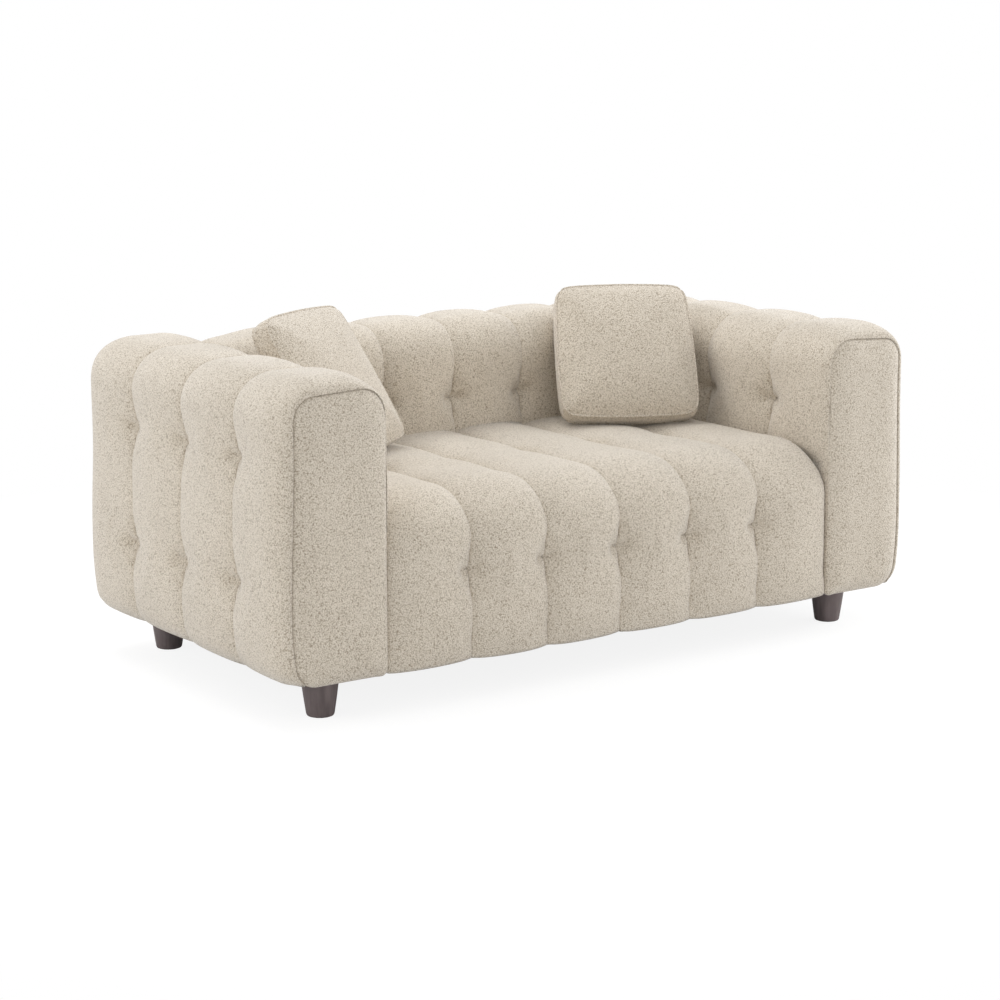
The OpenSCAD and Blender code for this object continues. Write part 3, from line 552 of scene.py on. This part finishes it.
def end_outline():
    """The seam round an arm's end panel, as x and z, from the foot of the inner side upwards."""
    corners = (
        (PANEL_HIGH_X, UNDERSIDE_H, PANEL_INNER_FOOT_R, -90),
        (PANEL_HIGH_X, PANEL_HIGH_Z, PANEL_INNER_TOP_R, 0),
        (PANEL_LOW_X, PANEL_HIGH_Z, PANEL_OUTER_TOP_R, 90),
        (PANEL_LOW_X, UNDERSIDE_H, PANEL_OUTER_FOOT_R, 180),
    )
    points = []
    for corner_x, corner_z, radius, start in corners:
        centre_x = corner_x + (radius if corner_x == PANEL_LOW_X else -radius)
        centre_z = corner_z + (radius if corner_z == UNDERSIDE_H else -radius)
        for turn in np.radians(start + np.linspace(0, 90, END_CORNER_POINTS)):
            points.append((centre_x + radius * math.cos(turn), centre_z + radius * math.sin(turn)))
    dense = []
    for k, (x, z) in enumerate(points):
        next_x, next_z = points[(k + 1) % len(points)]
        count = max(1, round(math.hypot(next_x - x, next_z - z) / END_OUTLINE_STEP))
        dense += [(x + (next_x - x) * m / count, z + (next_z - z) * m / count) for m in range(count)]
    x, z = np.array(dense).T
    return x, z - panel_arch(x, z)


def end_panel(mirror_x, mirror_y, seed):
    """Points and faces of one end panel with its seam allowance turned in behind."""
    x, z = end_outline()
    middle_x = (x.min() + x.max()) / 2
    reach = (x.max() - x.min()) / 2
    spine_z = np.clip(z, z.min() + reach, z.max() - reach)
    far = np.hypot(x - middle_x, z - spine_z)
    eased = 1 - END_DIP_EASED * faded(x, END_INNER_X_FADE) * faded(z, END_INNER_Z_FADE)
    by_seat = (x > BY_SEAT_X) & (z < BY_SEAT_Z)
    depth = FRONT_Y + END_CROWN + np.where(by_seat, SEAT_ALLOWANCE, ALLOWANCE)
    rings = [np.stack([x, depth, z], axis=-1)]
    for k in range(END_RINGS + 1):
        share = (k / END_RINGS) ** END_RING_POWER
        inside = share * far
        edge = np.clip(1 - inside / END_EDGE, 0, 1)
        swell = END_CROWN * (1 - edge ** END_EDGE_POWER) ** (1 / END_EDGE_POWER)
        dip = END_SEAM_DIP * np.exp(-(inside / END_SEAM_W) ** 2)
        dip = dip + END_VALLEY * np.exp(-(inside / END_VALLEY_W) ** 2)
        px = x + (middle_x - x) * share
        pz = z + (spine_z - z) * share
        uneven = END_WOBBLE * wobble(seed, px, pz) * np.minimum(1, inside / END_WOBBLE_LENGTH)
        depth = FRONT_Y + END_CROWN + END_STAND_BACK - swell + dip * eased + uneven
        rings.append(np.stack([px, depth, pz], axis=-1))
    points = settled(np.array(rings)) * np.array([mirror_x, mirror_y, 1])
    rows, ring = points.shape[:2]
    return points.reshape(-1, 3), tube_faces(rows, ring)[:-1]


def end_pads(arm, mirror_x, seed):
    """The covers over both end pads of an arm, as one piece."""
    points, faces = end_panel(mirror_x, 1, seed)
    rear_points, rear_faces = end_panel(mirror_x, -1, seed + 1)
    shift = len(points)
    faces = faces + [tuple(v + shift for v in face) for face in rear_faces]
    piece = make_mesh(f"{arm}_arm_end_covers", np.concatenate([points, rear_points]), faces)
    work = bmesh.new()
    work.from_mesh(piece.data)
    bmesh.ops.remove_doubles(work, verts=work.verts, dist=WELD_GAP)
    bmesh.ops.recalc_face_normals(work, faces=work.faces)
    work.to_mesh(piece.data)
    work.free()
    piece.data.polygons.foreach_set("use_smooth", [True] * len(piece.data.polygons))
    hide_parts(f"{arm}_arm_end_pads")
    return piece


covers.append(end_pads("left", 1, seed=80))
covers.append(end_pads("right", -1, seed=90))


# Scatter pillows: two crowned panels sewn to a boxed band

PILLOW_GRID = 44
PILLOW_GRID_POWER = 1.35
PILLOW_BAND_ROWS = 8
PILLOW_CORNER = 13.0
PILLOW_BOW = 0.045
PILLOW_SPARE = 0.002
PILLOW_CROWN_POWER = 2.6
PILLOW_CROWN_ROUNDING = 0.94
PILLOW_NARROW = 0.955
PILLOW_TAPER = 0.04
WELT_R = 0.0026
WELT_SIDES = 8

# Filling of a pillow: the cover is cut smaller, blown up by cloth simulation and brought to size
CUT_SHARE = 0.97
FILL_FRAMES = 20
FILL_LIMIT = 0.012
TINY = 1e-9
CLOTH_SETTINGS = {
    "quality": 6, "mass": 0.35, "use_pressure": True, "uniform_pressure_force": 3.0,
    "tension_stiffness": 22, "compression_stiffness": 18, "shear_stiffness": 9,
    "bending_stiffness": 6.0,
}


def softened(u, v):
    """Places of a square grid on a square with round corners, and how far out each one lies."""
    ring = np.maximum(np.abs(u), np.abs(v))
    safe = np.where(ring > 0, ring, 1)
    a, b = np.abs(u) / safe, np.abs(v) / safe
    total = np.where(ring > 0, a ** PILLOW_CORNER + b ** PILLOW_CORNER, 1)
    draw = 1 / total ** (1 / PILLOW_CORNER)
    draw = 1 + (draw - 1) * ring ** 2
    bow_u, bow_v = 1 + PILLOW_BOW * (1 - v * v), 1 + PILLOW_BOW * (1 - u * u)
    return u * draw * bow_u, v * draw * bow_v, ring


def pillow_mesh(name):
    """A pillow's cover lying flat, and the rows of points along its two seams."""
    half = (PILLOW_W / 2 - PILLOW_BAND_BOW) / (1 + PILLOW_BOW) + PILLOW_SPARE
    n = PILLOW_GRID
    even = np.linspace(-1, 1, n + 1)
    line = np.sign(even) * (1 - (1 - np.abs(even)) ** PILLOW_GRID_POWER)
    u, v = np.meshgrid(line, line, indexing="ij")
    x, y, ring = softened(u, v)
    swell = (1 - ring ** PILLOW_CROWN_POWER) ** PILLOW_CROWN_ROUNDING
    rise = (PILLOW_T - PILLOW_BAND_W) / 2
    top = np.stack([x * half, y * half, PILLOW_BAND_W / 2 + rise * swell], axis=-1)
    bottom = top * np.array([1, 1, -1])
    faces = []
    index = np.arange((n + 1) ** 2).reshape(n + 1, n + 1)
    for i in range(n):
        for j in range(n):
            quad = (index[i, j], index[i + 1, j], index[i + 1, j + 1], index[i, j + 1])
            faces.append(tuple(int(k) for k in quad))
            faces.append(tuple(int(k) + index.size for k in reversed(quad)))
    rim = [(i, 0) for i in range(n)] + [(n, j) for j in range(n)]
    rim += [(i, n) for i in range(n, 0, -1)] + [(0, j) for j in range(n, 0, -1)]
    points = [top.reshape(-1, 3), bottom.reshape(-1, 3)]
    rows = [[int(index[i, j]) for i, j in rim]]
    base = 2 * index.size
    for k in range(1, PILLOW_BAND_ROWS):
        share = k / PILLOW_BAND_ROWS
        wide = half * (1 + PILLOW_BAND_BOW / half * math.sin(math.pi * share))
        height = PILLOW_BAND_W * (0.5 - share)
        points.append(np.array([[x[i, j] * wide, y[i, j] * wide, height] for i, j in rim]))
        rows.append(list(range(base, base + len(rim))))
        base += len(rim)
    rows.append([int(index[i, j]) + index.size for i, j in rim])
    for a, b in zip(rows, rows[1:]):
        for k in range(len(rim)):
            m = (k + 1) % len(rim)
            faces.append((a[k], b[k], b[m], a[m]))
    piece = make_mesh(name, np.concatenate(points), faces)
    return piece, rows[0], rows[-1]


def inflate(piece):
    """Fills a closed cover by cloth simulation. No point ends further than FILL_LIMIT from where
    it was."""
    rest = np.array([v.co for v in piece.data.vertices])
    size = rest.max(axis=0) - rest.min(axis=0)
    piece.data.transform(Matrix.Scale(CUT_SHARE, 4))
    bpy.context.view_layer.update()
    cloth = piece.modifiers.new("fill", "CLOTH")
    for key, value in CLOTH_SETTINGS.items():
        setattr(cloth.settings, key, value)
    cloth.settings.effector_weights.gravity = 0
    cloth.point_cache.frame_start = 1
    cloth.point_cache.frame_end = FILL_FRAMES
    for k in range(1, FILL_FRAMES + 1):
        bpy.context.scene.frame_set(k)
    shown = piece.evaluated_get(bpy.context.evaluated_depsgraph_get())
    filled = np.array([v.co for v in shown.data.vertices])
    piece.modifiers.remove(cloth)
    bpy.context.scene.frame_set(1)
    filled = filled * (size / (filled.max(axis=0) - filled.min(axis=0)))
    move = filled - rest
    far = np.linalg.norm(move, axis=1, keepdims=True)
    move *= np.minimum(1, FILL_LIMIT / np.maximum(far, TINY))
    piece.data.vertices.foreach_set("co", (rest + move).ravel())
    piece.data.update()


def add_welt(piece, line):
    """Sews a welt round a cover along a closed row of its points."""
    centres = np.array([piece.data.vertices[k].co for k in line])
    normals = np.array([piece.data.vertices[k].normal for k in line])
    along = np.roll(centres, -1, axis=0) - np.roll(centres, 1, axis=0)
    along /= np.linalg.norm(along, axis=1, keepdims=True)
    aside = np.cross(along, normals)
    turns = np.linspace(0, 2 * math.pi, WELT_SIDES, endpoint=False)[None, :, None]
    rings = centres[:, None] + WELT_R * (np.cos(turns) * normals[:, None] + np.sin(turns) * aside[:, None])
    work = bmesh.new()
    work.from_mesh(piece.data)
    rows = [[work.verts.new(point) for point in ring] for ring in rings]
    for k, row in enumerate(rows):
        after = rows[(k + 1) % len(rows)]
        for m in range(WELT_SIDES):
            n = (m + 1) % WELT_SIDES
            work.faces.new((row[m], row[n], after[n], after[m])).smooth = True
    bmesh.ops.recalc_face_normals(work, faces=work.faces)
    work.to_mesh(piece.data)
    work.free()


def pillow(side, mirror):
    node = f"{side}_pillow"
    low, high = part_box(node)
    centre = (low + high) / 2
    piece, front_seam, rear_seam = pillow_mesh(node + "_cover")
    inflate(piece)
    for vertex in piece.data.vertices:
        vertex.co.x *= PILLOW_NARROW - PILLOW_TAPER * vertex.co.y / PILLOW_W
    piece.data.update()
    add_welt(piece, front_seam)
    add_welt(piece, rear_seam)
    turn = Matrix.Rotation(math.radians(PILLOW_TURN * mirror), 4, "Z")
    lean = Matrix.Rotation(math.radians(90 - PILLOW_LEAN), 4, "X")
    piece.data.transform(Matrix.Translation(centre) @ turn @ lean)
    piece.data.update()
    smooth = piece.modifiers.new("smooth", "SUBSURF")
    smooth.levels = smooth.render_levels = 1
    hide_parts(node)
    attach(piece, f"pillow_{side}")
    return piece


# Materials

def new_material(name):
    material = bpy.data.materials.new(name)
    material.use_nodes = True
    material.node_tree.nodes.clear()
    return material


class Tree:
    """Short calls to build a node tree."""

    def __init__(self, material):
        self.nodes = material.node_tree.nodes
        self.links = material.node_tree.links

    def feed(self, socket, value):
        """Links an input to a node's output, or sets its value."""
        if isinstance(value, bpy.types.NodeSocket):
            self.links.new(value, socket)
        else:
            socket.default_value = value

    def add(self, kind, settings=None, **inputs):
        node = self.nodes.new(kind)
        for key, value in (settings or {}).items():
            setattr(node, key, value)
        for key, value in inputs.items():
            self.feed(node.inputs[key.replace("_", " ")], value)
        return node

    def math(self, operation, a, b=0.0):
        node = self.nodes.new("ShaderNodeMath")
        node.operation = operation
        self.feed(node.inputs[0], a)
        self.feed(node.inputs[1], b)
        return node.outputs[0]

    def ramp(self, factor, stops):
        node = self.nodes.new("ShaderNodeValToRGB")
        self.links.new(factor, node.inputs[0])
        ramp = node.color_ramp
        while len(ramp.elements) < len(stops):
            ramp.elements.new(0.5)
        for element, (place, colour) in zip(ramp.elements, stops):
            element.position = place
            element.color = (*colour, 1)
        return node.outputs[0]

    def multiply(self, colour, tone):
        """A colour times another one. The mix node's colours are its inputs 6 and 7."""
        node = self.nodes.new("ShaderNodeMix")
        node.data_type = "RGBA"
        node.blend_type = "MULTIPLY"
        self.feed(node.inputs[0], 1.0)
        self.feed(node.inputs[6], colour)
        self.feed(node.inputs[7], tone)
        return node.outputs[2]

    def fade(self, factor, first, second):
        """A shader that fades from the first to the second as the factor rises."""
        node = self.nodes.new("ShaderNodeMixShader")
        self.feed(node.inputs[0], factor)
        self.feed(node.inputs[1], first)
        self.feed(node.inputs[2], second)
        return node.outputs[0]


def srgb(red, green, blue):
    """Linear colour of a displayed one."""
    return tuple(
        (c / 255 / 12.92) if c / 255 <= 0.04045 else ((c / 255 + 0.055) / 1.055) ** 2.4
        for c in (red, green, blue)
    )


def finish_material(tree, colour, bump_height, strength, distance, **values):
    bump = tree.add("ShaderNodeBump", Height=bump_height, Strength=strength, Distance=distance)
    shader = tree.add("ShaderNodeBsdfPrincipled", Base_Color=colour, Normal=bump.outputs[0], **values)
    tree.add("ShaderNodeOutputMaterial", Surface=shader.outputs[0])


YARN_BEND = 0.003
GRAIN_STRETCH = 0.07


def boucle_material():
    """Looped cream yarn: round loops of two sizes, the yarn's cream darkened by painted shade in the gaps
    between the loops, with pale tops.
    """
    material = new_material("boucle")
    tree = Tree(material)
    place = tree.add("ShaderNodeTexCoord").outputs["Object"]
    warp = tree.add("ShaderNodeTexNoise", Vector=place, Scale=90.0, Detail=2.0)
    bent = tree.add("ShaderNodeVectorMath", {"operation": "MULTIPLY_ADD"})
    tree.feed(bent.inputs[0], warp.outputs["Color"])
    tree.feed(bent.inputs[1], (YARN_BEND, YARN_BEND, YARN_BEND))
    tree.feed(bent.inputs[2], place)
    loops = tree.add("ShaderNodeTexVoronoi", Vector=bent.outputs[0], Scale=350.0)
    small = tree.add("ShaderNodeTexVoronoi", Vector=bent.outputs[0], Scale=690.0)
    fuzz = tree.add("ShaderNodeTexNoise", Vector=place, Scale=980.0, Detail=3.0)
    slow = tree.add("ShaderNodeTexNoise", Vector=place, Scale=9.0, Detail=3.0)
    big = tree.math("SUBTRACT", 1.0, loops.outputs["Distance"])
    fine = tree.math("SUBTRACT", 1.0, small.outputs["Distance"])
    height = tree.math("ADD", tree.math("MULTIPLY", big, 0.55), tree.math("MULTIPLY", fine, 0.30))
    height = tree.math("ADD", height, tree.math("MULTIPLY", fuzz.outputs["Fac"], 0.20))
    # Colour by loop height: the yarn's own cream on the tops, and painted shade in the low gaps between
    # the loops
    colour = tree.ramp(height, [
        (0.30, srgb(158, 145, 127)),
        (0.46, srgb(201, 190, 173)),
        (0.62, srgb(222, 212, 197)),
        (0.80, srgb(237, 229, 216)),
    ])
    tone = tree.ramp(slow.outputs["Fac"], [(0.3, (0.95, 0.948, 0.945)), (0.7, (1.0, 1.0, 1.0))])
    colour = tree.multiply(colour, tone)
    finish_material(tree, colour, height, strength=0.6, distance=0.003, Roughness=0.95,
                    Sheen_Weight=0.5, Sheen_Roughness=0.5, Specular_IOR_Level=0.2)
    return material


def wood_material(name, dark, light, roughness, scale, coat=0.0):
    """Straight grain along Z with pores."""
    material = new_material(name)
    tree = Tree(material)
    place = tree.add("ShaderNodeTexCoord").outputs["Object"]
    stretch = tree.add("ShaderNodeMapping", Vector=place, Scale=(scale, scale, scale * GRAIN_STRETCH))
    along = stretch.outputs[0]
    grain = tree.add("ShaderNodeTexNoise", Vector=along, Scale=6.0, Detail=8.0, Roughness=0.62)
    pores = tree.add("ShaderNodeTexNoise", Vector=along, Scale=38.0, Detail=3.0)
    colour = tree.ramp(grain.outputs["Fac"], [(0.34, dark), (0.66, light)])
    height = tree.math("ADD", grain.outputs["Fac"], tree.math("MULTIPLY", pores.outputs["Fac"], 0.4))
    finish_material(tree, colour, height, strength=0.18, distance=0.001, Roughness=roughness,
                    Coat_Weight=coat)
    return material


def board_material(name, dark, light, roughness, scale, grain_scale):
    """Pressed or woven sheet: a speckle over a slow tone."""
    material = new_material(name)
    tree = Tree(material)
    place = tree.add("ShaderNodeTexCoord").outputs["Object"]
    speckle = tree.add("ShaderNodeTexNoise", Vector=place, Scale=grain_scale, Detail=6.0)
    slow = tree.add("ShaderNodeTexNoise", Vector=place, Scale=scale, Detail=2.0)
    factor = tree.math("ADD", tree.math("MULTIPLY", speckle.outputs["Fac"], 0.7),
                       tree.math("MULTIPLY", slow.outputs["Fac"], 0.3))
    colour = tree.ramp(factor, [(0.36, dark), (0.64, light)])
    finish_material(tree, colour, speckle.outputs["Fac"], strength=0.3, distance=0.001,
                    Roughness=roughness)
    return material


def weave_material(name, dark, light, threads):
    """Plain weave of two crossing sets of threads, seen from above."""
    material = new_material(name)
    tree = Tree(material)
    place = tree.add("ShaderNodeTexCoord").outputs["Object"]
    parts = tree.add("ShaderNodeSeparateXYZ", Vector=place)
    across = tree.math("SINE", tree.math("MULTIPLY", parts.outputs[0], threads))
    along = tree.math("SINE", tree.math("MULTIPLY", parts.outputs[1], threads))
    checks = tree.math("MULTIPLY", across, along)
    noise = tree.add("ShaderNodeTexNoise", Vector=place, Scale=160.0, Detail=4.0)
    height = tree.math("ADD", tree.math("MULTIPLY", checks, 0.35), noise.outputs["Fac"])
    colour = tree.ramp(height, [(0.25, dark), (0.8, light)])
    finish_material(tree, colour, height, strength=0.4, distance=0.001, Roughness=0.9)
    return material


def metal_material(name, dark, light, roughness):
    """Bright wire or plated steel with fine scratches."""
    material = new_material(name)
    tree = Tree(material)
    place = tree.add("ShaderNodeTexCoord").outputs["Object"]
    scratch = tree.add("ShaderNodeTexNoise", Vector=place, Scale=420.0, Detail=5.0)
    colour = tree.ramp(scratch.outputs["Fac"], [(0.35, dark), (0.65, light)])
    finish_material(tree, colour, scratch.outputs["Fac"], strength=0.08, distance=0.0005,
                    Roughness=roughness, Metallic=1.0)
    return material


boucle = boucle_material()
leg_wood = wood_material("leg_wood", srgb(98, 87, 87), srgb(126, 114, 114),
                         roughness=0.5, scale=9.0, coat=0.05)
timber = wood_material("frame_timber", srgb(176, 140, 96), srgb(214, 184, 140),
                       roughness=0.7, scale=5.0)
hardboard = board_material("hardboard", srgb(104, 74, 48), srgb(134, 100, 68),
                           roughness=0.6, scale=9.0, grain_scale=600.0)
foam = board_material("foam", srgb(214, 200, 150), srgb(236, 226, 184),
                      roughness=0.95, scale=12.0, grain_scale=420.0)
dust_cloth = board_material("dust_cloth", srgb(26, 26, 27), srgb(52, 52, 54),
                            roughness=0.9, scale=30.0, grain_scale=900.0)
hessian = weave_material("deck_cloth", srgb(118, 92, 60), srgb(186, 158, 116), threads=1800.0)
wire = metal_material("spring_wire", srgb(70, 70, 72), srgb(140, 140, 142), roughness=0.38)
zinc = metal_material("zinc_steel", srgb(150, 152, 156), srgb(206, 208, 212), roughness=0.3)

# Materials by a word in a node's name, the first that fits, so that leg bolts and nuts come before legs
node_materials = {
    "springs": wire, "clips": zinc, "bolts": zinc, "nuts": zinc, "deck_cloth": hessian, "seat_core": foam,
    "dust_cover": dust_cloth, "panel": hardboard, "leg": leg_wood,
}


def material_of(name):
    for word, material in node_materials.items():
        if word in name:
            return material
    return timber


for name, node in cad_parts.items():
    node.data.materials.clear()
    node.data.materials.append(material_of(name))


# Turned tapered legs, with a rounded foot as shares of its radius and heights

LEG_TURNS = 72
LEG_STEPS = 14
LEG_BOW = 0.0006
LEG_EDGE_Z = 0.005
LEG_FOOT_ROUNDING = ((0.86, 0.0), (0.93, 0.0008), (0.975, 0.0026))
LEG_SPLIT_ANGLE = 60


def leg(node):
    low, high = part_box(node)
    centre = (low + high) / 2
    top_r = (high.x - low.x) / 2
    taper_h = high.z - low.z - LEG_EDGE_Z
    foot_r = top_r * LEG_FOOT_D / LEG_TOP_D
    profile = [(foot_r * share, z) for share, z in LEG_FOOT_ROUNDING]
    for k in range(LEG_STEPS + 1):
        share = k / LEG_STEPS
        radius = foot_r + (top_r - foot_r) * share + LEG_BOW * math.sin(math.pi * share)
        profile.append((radius, LEG_EDGE_Z + taper_h * share))
    points = []
    for radius, z in profile:
        for turn in 2 * math.pi * np.arange(LEG_TURNS) / LEG_TURNS:
            points.append((
                centre.x + radius * math.cos(turn), centre.y + radius * math.sin(turn), low.z + z,
            ))
    piece = make_mesh(node + "_turned", points, tube_faces(len(profile), LEG_TURNS))
    piece.data.materials.append(leg_wood)
    edge = piece.modifiers.new("edges", "EDGE_SPLIT")
    edge.split_angle = math.radians(LEG_SPLIT_ANGLE)
    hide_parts(node)
    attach(piece, "sofa")


for node in ("front_left_leg", "front_right_leg", "rear_left_leg", "rear_right_leg"):
    leg(node)

for piece in covers:
    piece.data.materials.append(boucle)
    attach(piece, "sofa")

for side, mirror in (("left", 1), ("right", -1)):
    pillow(side, mirror).data.materials.append(boucle)


# Floor, light and camera

FLOOR_REACH = 14
FLOOR_FADE_REACH = 4
FLOOR_GLOW = 0.87
AMBIENT = 0.775
LIGHT_TARGET = (0, 0, 0.4)
CAMERA_PLACE = (-3.147, -4.4645, 1.4025)
CAMERA_DOWN = 11.26
CAMERA_TURN = -35.05
CAMERA_LENS = 87.08
SENSOR_W = 36


def floor_material():
    """White floor: the camera sees it lit to white, with the object's shadow kept near the object
    and plain white beyond."""
    material = new_material("floor")
    tree = Tree(material)
    ray = tree.add("ShaderNodeLightPath").outputs["Is Camera Ray"]
    plain = tree.add("ShaderNodeBsdfDiffuse", Color=(0.8, 0.8, 0.8, 1))
    seen = tree.add("ShaderNodeBsdfDiffuse", Color=(0.18, 0.18, 0.18, 1))
    glow = tree.add("ShaderNodeEmission", Color=(1, 1, 1, 1), Strength=FLOOR_GLOW)
    both = tree.add("ShaderNodeAddShader")
    tree.feed(both.inputs[0], seen.outputs[0])
    tree.feed(both.inputs[1], glow.outputs[0])
    white = tree.add("ShaderNodeEmission", Color=(1, 1, 1, 1), Strength=1.0)
    place = tree.add("ShaderNodeTexCoord").outputs["Object"]
    far = tree.add("ShaderNodeVectorMath", {"operation": "LENGTH"}, Vector=place).outputs["Value"]
    far_share = tree.math("MULTIPLY", far, 1 / FLOOR_FADE_REACH)
    outside = tree.ramp(far_share, [(0.30, (0, 0, 0)), (0.55, (1, 1, 1))])
    shown = tree.fade(outside, both.outputs[0], white.outputs[0])
    mixed = tree.fade(ray, plain.outputs[0], shown)
    tree.add("ShaderNodeOutputMaterial", Surface=mixed)
    return material


corners = [(FLOOR_REACH * x, FLOOR_REACH * y, 0) for x, y in ((-1, -1), (1, -1), (1, 1), (-1, 1))]
floor = make_mesh("floor", corners, [(0, 1, 2, 3)])
floor.data.materials.append(floor_material())

world = bpy.data.worlds.new("studio")
bpy.context.scene.world = world
world.use_nodes = True
world.node_tree.nodes.clear()
sky = Tree(world)
# What is seen of the sky straight, mirrored or through glass is white, and its light is dimmer
path_kind = sky.add("ShaderNodeLightPath")
seen_ray = sky.math("MAXIMUM", path_kind.outputs["Is Camera Ray"], path_kind.outputs["Is Glossy Ray"])
seen_ray = sky.math("MAXIMUM", seen_ray, path_kind.outputs["Is Transmission Ray"])
strength = sky.math("ADD", sky.math("MULTIPLY", seen_ray, 1 - AMBIENT), AMBIENT)
background = sky.add("ShaderNodeBackground", Color=(1, 1, 1, 1), Strength=strength)
sky.add("ShaderNodeOutputWorld", Surface=background.outputs[0])


def soft_light(name, place, size, watts):
    data = bpy.data.lights.new(name, "AREA")
    data.shape = "DISK"
    data.size = size
    data.energy = watts
    lamp = bpy.data.objects.new(name, data)
    lamp.location = place
    lamp.rotation_euler = (Vector(LIGHT_TARGET) - Vector(place)).to_track_quat("-Z", "Y").to_euler()
    bpy.context.collection.objects.link(lamp)


soft_light("left", place=(-4.6, 1.0, 1.8), size=2.2, watts=42)
soft_light("right", place=(4.4, -0.6, 2.0), size=2.5, watts=92)
soft_light("right_front", place=(3.0, -3.8, 1.8), size=2.5, watts=26)
soft_light("top", place=(-0.4, 1.7, 4.0), size=3.0, watts=74)

camera_data = bpy.data.cameras.new("camera")
camera_data.sensor_width = SENSOR_W
camera_data.lens = CAMERA_LENS
camera = bpy.data.objects.new("camera", camera_data)
camera.location = CAMERA_PLACE
camera.rotation_euler = (math.radians(90 - CAMERA_DOWN), 0, math.radians(CAMERA_TURN))
bpy.context.collection.objects.link(camera)
bpy.context.scene.camera = camera
bpy.context.scene.view_settings.view_transform = "Standard"
